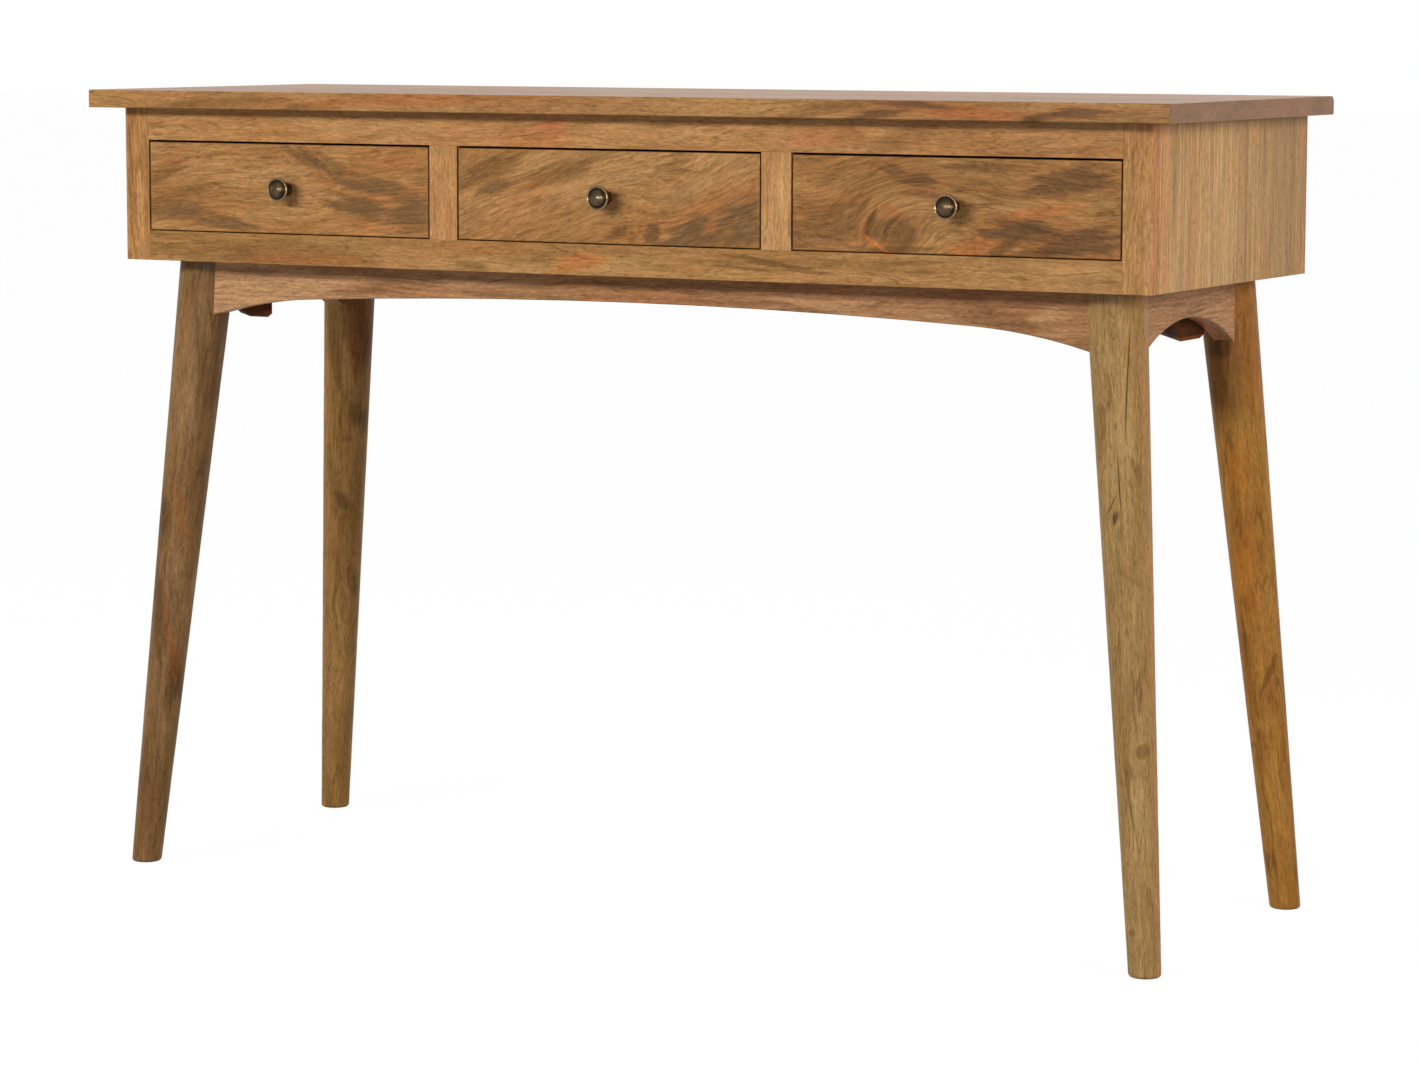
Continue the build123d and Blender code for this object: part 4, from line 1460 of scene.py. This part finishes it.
        mottled = (
            Patch(DARK, (-0.492, 0.110, 0.500), (0.010, 0.04, 0.070), 0.05, 0.55, 0.9),
            Patch(DARK, (-0.500, 0.120, 0.340), (0.010, 0.04, 0.060), 0.05, 0.40, 0.9),
            Patch(LIGHT, (-0.475, 0.110, 0.420), (0.009, 0.04, 0.080), 0.05, 0.50, 0.9),
            # Painted shade on the top right of the rear left leg, partly a reddish-brown stain.
            Patch(EMBER, (-0.467, 0.130, 0.510), (0.014, 0.04, 0.050), 0.05, 0.85, 0.7),
            Patch(DARK, (-0.476, 0.138, 0.420), (0.006, 0.04, 0.020), 0.10, 0.65, 0.6),
            Patch(DARK, (-0.4945, 0.140, 0.331), (0.006, 0.04, 0.014), 0.40, 0.70, 0.6),
            Patch(LIGHT, (-0.508, 0.150, 0.150), (0.012, 0.04, 0.060), 0.05, 0.60, 0.9),
        )
        whorl = Knot((-0.502, 0.149, 0.220), 0.004, 0.018, 0.45, 1.6)
        pale = {"streaks": 0.40, "patches": cracks, "knots": knots, "lamination": self.strip()}
        return {
            "front_left": (OLIVE_DARK, 41.0, {"patches": dusky}),
            "front_right": (OLIVE, 42.0, pale),
            "rear_left": (OLIVE_BROWN, 43.0, {"patches": mottled, "knots": (whorl,)}),
            "rear_right": (AMBER, 44.0, {"flecks": 0.45, "feathers": 0.15, "patches": amber}),
        }

    def build(self) -> None:
        """Turns the four legs."""
        maker = self.maker()
        plain = {"streaks": 0.5, "flecks": 0.5, "feathers": 0.1}
        for corner, (tones, seed, figure) in self.figures().items():
            top, foot = self.ends(corner)
            turn = (top - foot).rotation_difference(Vector((1.0, 0.0, 0.0))).to_euler("XYZ")
            finish = WoodFinish(f"{corner}_leg_wood", tones, tuple(turn), seed, **(plain | figure))
            name = f"{corner}_turned_leg"
            mesh = maker.make(
                bpy.data.meshes.new(name),
                self.crease,
                height=self.height,
                top_radius=self.top_radius,
                foot_radius=self.foot_radius,
                foot_round=self.foot_round,
                hand_ripple=self.hand_ripple,
                top_centre=tuple(top),
                foot_centre=tuple(foot),
                finish=finish.material(),
            )
            settle(name, mesh, "desk", "leg_wood", f"{corner}_leg")


@dataclass
class Aprons:
    """Arched aprons and the corner blocks behind them."""

    sheen: float = 0.05

    def build(self) -> None:
        """Dresses the aprons and the blocks."""
        front = spots(
            APRON_FACE,
            (LIGHT, -0.400, 0.572, 0.130, 0.040, 0.0, 0.90, 0.5),
            (DARK, -0.262, 0.577, 0.070, 0.009, 0.10, 0.45, 1.0),
            (DARK, -0.120, 0.572, 0.060, 0.005, -0.05, 0.40, 1.0),
            (BLUSH, 0.020, 0.572, 0.090, 0.008, 0.0, 0.50, 0.9),
            (DARK, 0.160, 0.571, 0.070, 0.006, -0.10, 0.40, 1.0),
            (DARK, 0.380, 0.566, 0.040, 0.012, -0.20, 0.55, 1.0),
            (LIGHT, 0.428, 0.5745, 0.020, 0.008, 0.1, 0.70, 0.6),
        )
        under = (Patch(EMBER, (0.4850, 0.085, 0.560), (0.011, 0.07, 0.022), 0.0, 0.60, 0.3),)
        long = {"streaks": 0.45, "lines": 0.28, "length": 1.6}
        deep = {"streaks": 0.36, "lines": 0.32, "length": 2.2, "feathers": 0.1, "patches": under}
        aprons = (
            ("front_apron", Grain.LENGTHWAYS, 51.0, long | {"patches": front}),
            ("rear_apron", Grain.LENGTHWAYS, 52.0, long),
            ("left_apron", Grain.FRONT_TO_BACK, 53.0, deep),
            ("right_apron", Grain.FRONT_TO_BACK, 54.0, deep),
        )
        for node, grain, seed, figure in aprons:
            finish = WoodFinish(f"{node}_wood", PINKISH, grain.value, seed, sheen=self.sheen, **figure)
            wear(node, finish.material())
        self._blocks()

    def _blocks(self) -> None:
        """Dresses the corner blocks in dark stain, with a dark left end and a painted highlight on the rear
        right block.
        """
        # A dark patch on the left end of the rear right block, and a painted highlight of warm light on its
        # face.
        dark_end_and_highlight = (
            Patch(DARK, (0.4500, 0.050, 0.5463), (0.014, 0.05, 0.04), 0.0, 0.9, 0.4),
            Patch(BLUSH, (0.4791, 0.060, 0.5472), (0.012, 0.06, 0.012), 0.0, 0.8, 0.8),
        )
        along = Grain.LENGTHWAYS.value
        finish = WoodFinish(
            "corner_block_wood", STAINED, along, 55.0, roughness=0.7, sheen=0.04, patches=dark_end_and_highlight
        )
        stained = finish.material()
        for corner in CORNERS:
            wear(f"{corner}_corner_block", stained)


@dataclass(frozen=True)
class Thread:
    """Sizes of a threaded fastener, from its head to its point, in metres."""

    length: float
    radius: float
    pitch: float
    depth: float
    point: float
    head_radius: float
    head_height: float
    recess: bool


@dataclass(frozen=True)
class Seat:
    """Where a fastener starts, and which way it points."""

    place: Triple
    axis: Triple


@dataclass
class Fasteners:
    """Screws, hanger bolts and nuts, with the threads cut by one node tree."""

    sides: int = 20
    rings_per_turn: int = 6
    blunt_point: float = 0.15
    crease: float = 0.6
    nut_round_over: float = 0.0003
    screw: Thread = Thread(0.030, 0.002, 0.0018, 0.0005, 0.005, 0.004, 0.0024, True)
    bolt: Thread = Thread(0.065, 0.004, 0.00125, 0.0006, 0.004, 0.0034, 0.0006, False)
    slots: tuple[Triple, ...] = ((0.0011, 0.0050, 0.0030), (0.0050, 0.0011, 0.0028))

    def maker(self) -> Maker:
        """Builds the tree that sets a threaded fastener on every seat.

        Returns:
            The tree, with named inputs for its sizes.
        """
        inputs = {
            "Geometry": ("Seats",),
            "Float": ("Length", "Radius", "Pitch", "Depth", "Point", "Head Radius", "Head Height"),
            "Int": ("Rings",),
            "Bool": ("Recess",),
            "Material": ("Finish",),
        }
        graph = Maker("threaded_fasteners", inputs)
        given = graph.given
        x, y, z = graph.axes(graph.place)
        along = graph.math("MULTIPLY", graph.math("ADD", z, 0.5), given["Length"])
        wide = self._radius(graph, along, graph.math("ARCTAN2", y, x))
        flat = graph.vector("MULTIPLY", graph.place, (1.0, 1.0, 0.0))
        spread = graph.vector("SCALE", flat, wide)
        spread = graph.vector("ADD", spread, graph.vector("SCALE", (0.0, 0.0, 1.0), along))
        plain = graph.shape(self.sides, given["Rings"], spread)
        either = graph.add("GeometryNodeSwitch", input_type="GEOMETRY")
        graph.feed(either.inputs["Switch"], given["Recess"])
        graph.feed(either.inputs["False"], plain)
        graph.feed(either.inputs["True"], self._crossed(graph, plain))
        axis = graph.add("GeometryNodeInputNamedAttribute", data_type="FLOAT_VECTOR")
        axis.inputs["Name"].default_value = "axis"
        aim = graph.add("FunctionNodeAlignRotationToVector", axis="Z")
        graph.feed(aim.inputs["Vector"], axis.outputs["Attribute"])
        copies = graph.add("GeometryNodeInstanceOnPoints")
        graph.feed(copies.inputs["Points"], given["Seats"])
        graph.feed(copies.inputs["Instance"], either.outputs[0])
        graph.feed(copies.inputs["Rotation"], aim.outputs[0])
        graph.close(copies.outputs[0])
        return graph

    def _radius(self, graph: Maker, along: object, angle: object) -> Socket:
        """Works out the radius of the head, the thread and the point.

        Args:
            graph: The tree.
            along: Way from the head.
            angle: Way round the axis.

        Returns:
            The radius at that place.
        """
        given = graph.given
        turns = graph.math("DIVIDE", along, given["Pitch"])
        turns = graph.math("SUBTRACT", turns, graph.math("DIVIDE", angle, math.tau))
        groove = graph.math("MULTIPLY_ADD", graph.math("FRACT", turns), 2.0, -1.0)
        groove = graph.math("MULTIPLY", graph.math("ABSOLUTE", groove), given["Depth"])
        shank = graph.math("SUBTRACT", given["Radius"], groove)
        left = graph.math("DIVIDE", graph.math("SUBTRACT", given["Length"], along), given["Point"])
        left = graph.math("MINIMUM", graph.math("MAXIMUM", left, self.blunt_point), 1.0)
        share = graph.math("MINIMUM", graph.math("DIVIDE", along, given["Head Height"]), 1.0)
        head = graph.blend(share, given["Head Radius"], given["Radius"])
        inside = graph.math("LESS_THAN", along, given["Head Height"])
        return graph.blend(inside, graph.math("MULTIPLY", shank, left), head)

    def _crossed(self, graph: Maker, solid: object) -> Socket:
        """Cuts the cross recess into the head.

        Args:
            graph: The tree.
            solid: The plain screw.

        Returns:
            The screw with its recess.
        """
        for size in self.slots:
            bit = graph.add("GeometryNodeMeshCube")
            bit.inputs["Size"].default_value = size
            cut = graph.add("GeometryNodeMeshBoolean", operation="DIFFERENCE", solver="EXACT")
            graph.feed(cut.inputs["Mesh 1"], solid)
            graph.feed(cut.inputs["Mesh 2"], bit.outputs["Mesh"])
            solid = cut.outputs["Mesh"]
        return solid

    def solids(self, node: str) -> list[list[Vector]]:
        """Finds the points of each separate solid in a CAD node.

        Args:
            node: The node's name.

        Returns:
            One list of points for each solid.
        """
        work = merged(node)
        work.verts.index_update()
        found: list[list[Vector]] = []
        met: set[int] = set()
        for start in work.verts:
            if start.index in met:
                continue
            met.add(start.index)
            edge = [start]
            points: list[Vector] = []
            while edge:
                vert = edge.pop()
                points.append(vert.co.copy())
                for link in vert.link_edges:
                    other = link.other_vert(vert)
                    if other.index not in met:
                        met.add(other.index)
                        edge.append(other)
            found.append(points)
        work.free()
        return found

    def screw_seats(self) -> list[Seat]:
        """Finds the heads of the wood screws.

        Returns:
            A seat for each screw, which points up or down.
        """
        seats = []
        for points in self.solids("wood_screws"):
            x = sum(point.x for point in points) / len(points)
            y = sum(point.y for point in points) / len(points)
            reach: dict[float, float] = {}
            for end in (min(point.z for point in points), max(point.z for point in points)):
                ring = [point for point in points if abs(point.z - end) < END_TOLERANCE]
                reach[end] = max(math.hypot(point.x - x, point.y - y) for point in ring)
            head = max(reach, key=reach.get)
            seats.append(Seat((x, y, head), (0.0, 0.0, -1.0 if head == max(reach) else 1.0)))
        return seats

    def bolt_seats(self) -> list[Seat]:
        """Finds the free ends of the hanger bolts.

        Returns:
            A seat for each bolt, which points at its leg.
        """
        seats = []
        for points in self.solids("hanger_bolts"):
            centre = sum(points, Vector()) / len(points)
            outwards = (math.copysign(1.0, centre.x), math.copysign(1.0, centre.y - LEG_MIDDLE), 0.0)
            axis = Vector(outwards).normalized()
            back = min(axis.dot(point - centre) for point in points)
            seats.append(Seat(tuple(centre + axis * back), tuple(axis)))
        return seats

    def cut(
        self, maker: Maker, node: str, thread: Thread, seats: list[Seat], steel: Material
    ) -> None:
        """Cuts one kind of fastener on all its seats.

        Args:
            maker: The node tree.
            node: CAD node that the fasteners stand for.
            thread: Their sizes.
            seats: Where they go.
            steel: Their metal.
        """
        name = f"threaded_{node}"
        start = bpy.data.meshes.new(name)
        start.from_pydata([seat.place for seat in seats], [], [])
        axes = [part for seat in seats for part in seat.axis]
        start.attributes.new("axis", "FLOAT_VECTOR", "POINT").data.foreach_set("vector", axes)
        rings = round(thread.length / thread.pitch * self.rings_per_turn)
        mesh = maker.make(start, self.crease, rings=rings, finish=steel, **asdict(thread))
        settle(name, mesh, "desk", "dark_steel", node)

    def build(self, steel: Material) -> None:
        """Cuts the screws and bolts, and eases the nuts.

        Args:
            steel: The blackened metal.
        """
        maker = self.maker()
        self.cut(maker, "wood_screws", self.screw, self.screw_seats(), steel)
        self.cut(maker, "hanger_bolts", self.bolt, self.bolt_seats(), steel)
        nuts = softened("flange_nuts", self.nut_round_over, steel)
        settle("eased_flange_nuts", nuts, "desk", "dark_steel", "flange_nuts")


@dataclass(frozen=True)
class Lamp:
    """A soft lamp that faces the desk, in metres and watts."""

    name: str
    place: Triple
    wide: float
    high: float
    power: float
    use: LampUse


@dataclass
class Studio:
    """Pale floor, soft light and the camera."""

    eye: Triple = (1.9803, -3.5953, 0.8391)
    yaw: float = 0.5001
    pitch: float = 0.1204
    roll: float = 0.0019
    lens: float = 109.876
    sensor: float = 36.0
    floor_reach: float = 30.0
    floor_grey: float = 0.36
    floor_glow: float = 1.12
    floor_glow_share: float = 0.86
    world_light: float = 0.09
    back_light: float = 0.75
    roof_light: float = 0.6
    lamp_aim: Triple = (0.0, 0.0, 0.55)
    lamps: tuple[Lamp, ...] = (
        Lamp("key_light", (-1.5, -4.3, 2.10), 3.0, 0.6, 170.0, LampUse.SHADE),
        Lamp("side_light", (4.0, -0.9, 1.7), 1.7, 1.7, 98.0, LampUse.SHADE),
        Lamp("glint_light", (1.4, -4.4, 0.95), 7.0, 0.30, 160.0, LampUse.GLINT),
    )

    def build(self) -> None:
        """Sets the floor, the light and the camera."""
        self._floor()
        self._world()
        for lamp in self.lamps:
            self._hang(lamp)
        self._camera()
        bpy.context.scene.view_settings.view_transform = "Standard"

    def _seen(self, graph: Graph) -> Socket:
        """Marks the rays that show the background.

        Args:
            graph: The tree to add it to.

        Returns:
            1 for camera, glossy and transmission rays.
        """
        path = graph.add("ShaderNodeLightPath").outputs
        seen = graph.math("MAXIMUM", path["Is Camera Ray"], path["Is Glossy Ray"])
        return graph.math("MAXIMUM", seen, path["Is Transmission Ray"])

    def _floor(self) -> None:
        """Lays the floor, white to the eye with a faint shadow, and clear from below."""
        material = bpy.data.materials.new("pale_floor")
        material.use_nodes = True
        graph = Graph(material.node_tree)
        plain = graph.add("ShaderNodeBsdfDiffuse")
        plain.inputs["Color"].default_value = (self.floor_grey, self.floor_grey, self.floor_grey, 1.0)
        glow = graph.add("ShaderNodeEmission")
        glow.inputs["Strength"].default_value = self.floor_glow
        share = graph.math("MULTIPLY", self._seen(graph), self.floor_glow_share)
        above = graph.join(graph.add("ShaderNodeMixShader"), share, plain.outputs[0], glow.outputs[0])
        below = graph.add("ShaderNodeBsdfTransparent").outputs[0]
        behind = graph.add("ShaderNodeNewGeometry").outputs["Backfacing"]
        sided = graph.join(graph.add("ShaderNodeMixShader"), behind, above, below)
        graph.feed(graph.add("ShaderNodeOutputMaterial").inputs["Surface"], sided)
        far = self.floor_reach
        corners = [(-far, -far, 0.0), (far, -far, 0.0), (far, far, 0.0), (-far, far, 0.0)]
        mesh = bpy.data.meshes.new("floor")
        mesh.from_pydata(corners, [], [(0, 1, 2, 3)])
        mesh.materials.append(material)
        stand("floor", mesh)

    def _world(self) -> None:
        """Sets a faint light all round, stronger from behind and above, and white where it is seen."""
        world = bpy.data.worlds.new("studio")
        world.use_nodes = True
        graph = Graph(world.node_tree)
        light = graph.add("ShaderNodeBackground")
        light.inputs["Color"].default_value = (1.0, 1.0, 1.0, 1.0)
        _, back, up = graph.axes(graph.add("ShaderNodeTexCoord").outputs["Generated"])
        level = graph.band(back, 0.2, 0.9, self.world_light, self.back_light)
        level = graph.math("ADD", level, graph.band(up, 0.55, 1.0, 0.0, self.roof_light))
        graph.feed(light.inputs["Strength"], graph.math("MAXIMUM", self._seen(graph), level))
        graph.feed(graph.add("ShaderNodeOutputWorld").inputs["Surface"], light.outputs[0])
        bpy.context.scene.world = world

    def _hang(self, lamp: Lamp) -> None:
        """Hangs a lamp.

        Args:
            lamp: What to hang.
        """
        data = bpy.data.lights.new(lamp.name, "AREA")
        data.shape = "RECTANGLE"
        data.size = lamp.wide
        data.size_y = lamp.high
        data.energy = lamp.power
        thing = stand(lamp.name, data)
        thing.visible_glossy = lamp.use is LampUse.GLINT
        thing.visible_diffuse = lamp.use is LampUse.SHADE
        thing.location = lamp.place
        aim = Vector(self.lamp_aim) - Vector(lamp.place)
        thing.rotation_euler = aim.to_track_quat("-Z", "Y").to_euler()

    def _camera(self) -> None:
        """Stands the camera where the photograph was taken."""
        level = math.cos(self.pitch)
        ahead = Vector((-math.sin(self.yaw) * level, math.cos(self.yaw) * level, -math.sin(self.pitch)))
        right = Vector((math.cos(self.yaw), math.sin(self.yaw), 0.0))
        up = right.cross(ahead)
        side = right * math.cos(self.roll) + up * math.sin(self.roll)
        crown = up * math.cos(self.roll) - right * math.sin(self.roll)
        data = bpy.data.cameras.new("camera")
        data.sensor_width = self.sensor
        data.lens = self.lens
        camera = stand("camera", data)
        turn = Matrix((side, crown, -ahead)).transposed()
        camera.matrix_world = Matrix.Translation(self.eye) @ turn.to_4x4()
        bpy.context.scene.camera = camera


def write_sizes() -> None:
    """Brings the view layer up to date."""
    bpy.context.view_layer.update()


def main() -> None:
    """Builds the desk piece by piece and sets the studio."""
    logging.basicConfig(level=logging.INFO, format="%(message)s")
    brass = BRASS.material()
    steel = STEEL.material()
    Top().build()
    FaceFrame().build()
    Case().build()
    for bay, finish in drawer_finishes().items():
        Drawer(bay, finish).build(brass, steel)
    TurnedLegs().build()
    Aprons().build()
    Fasteners().build(steel)
    Studio().build()
    write_sizes()


if __name__ == "__main__":
    main()
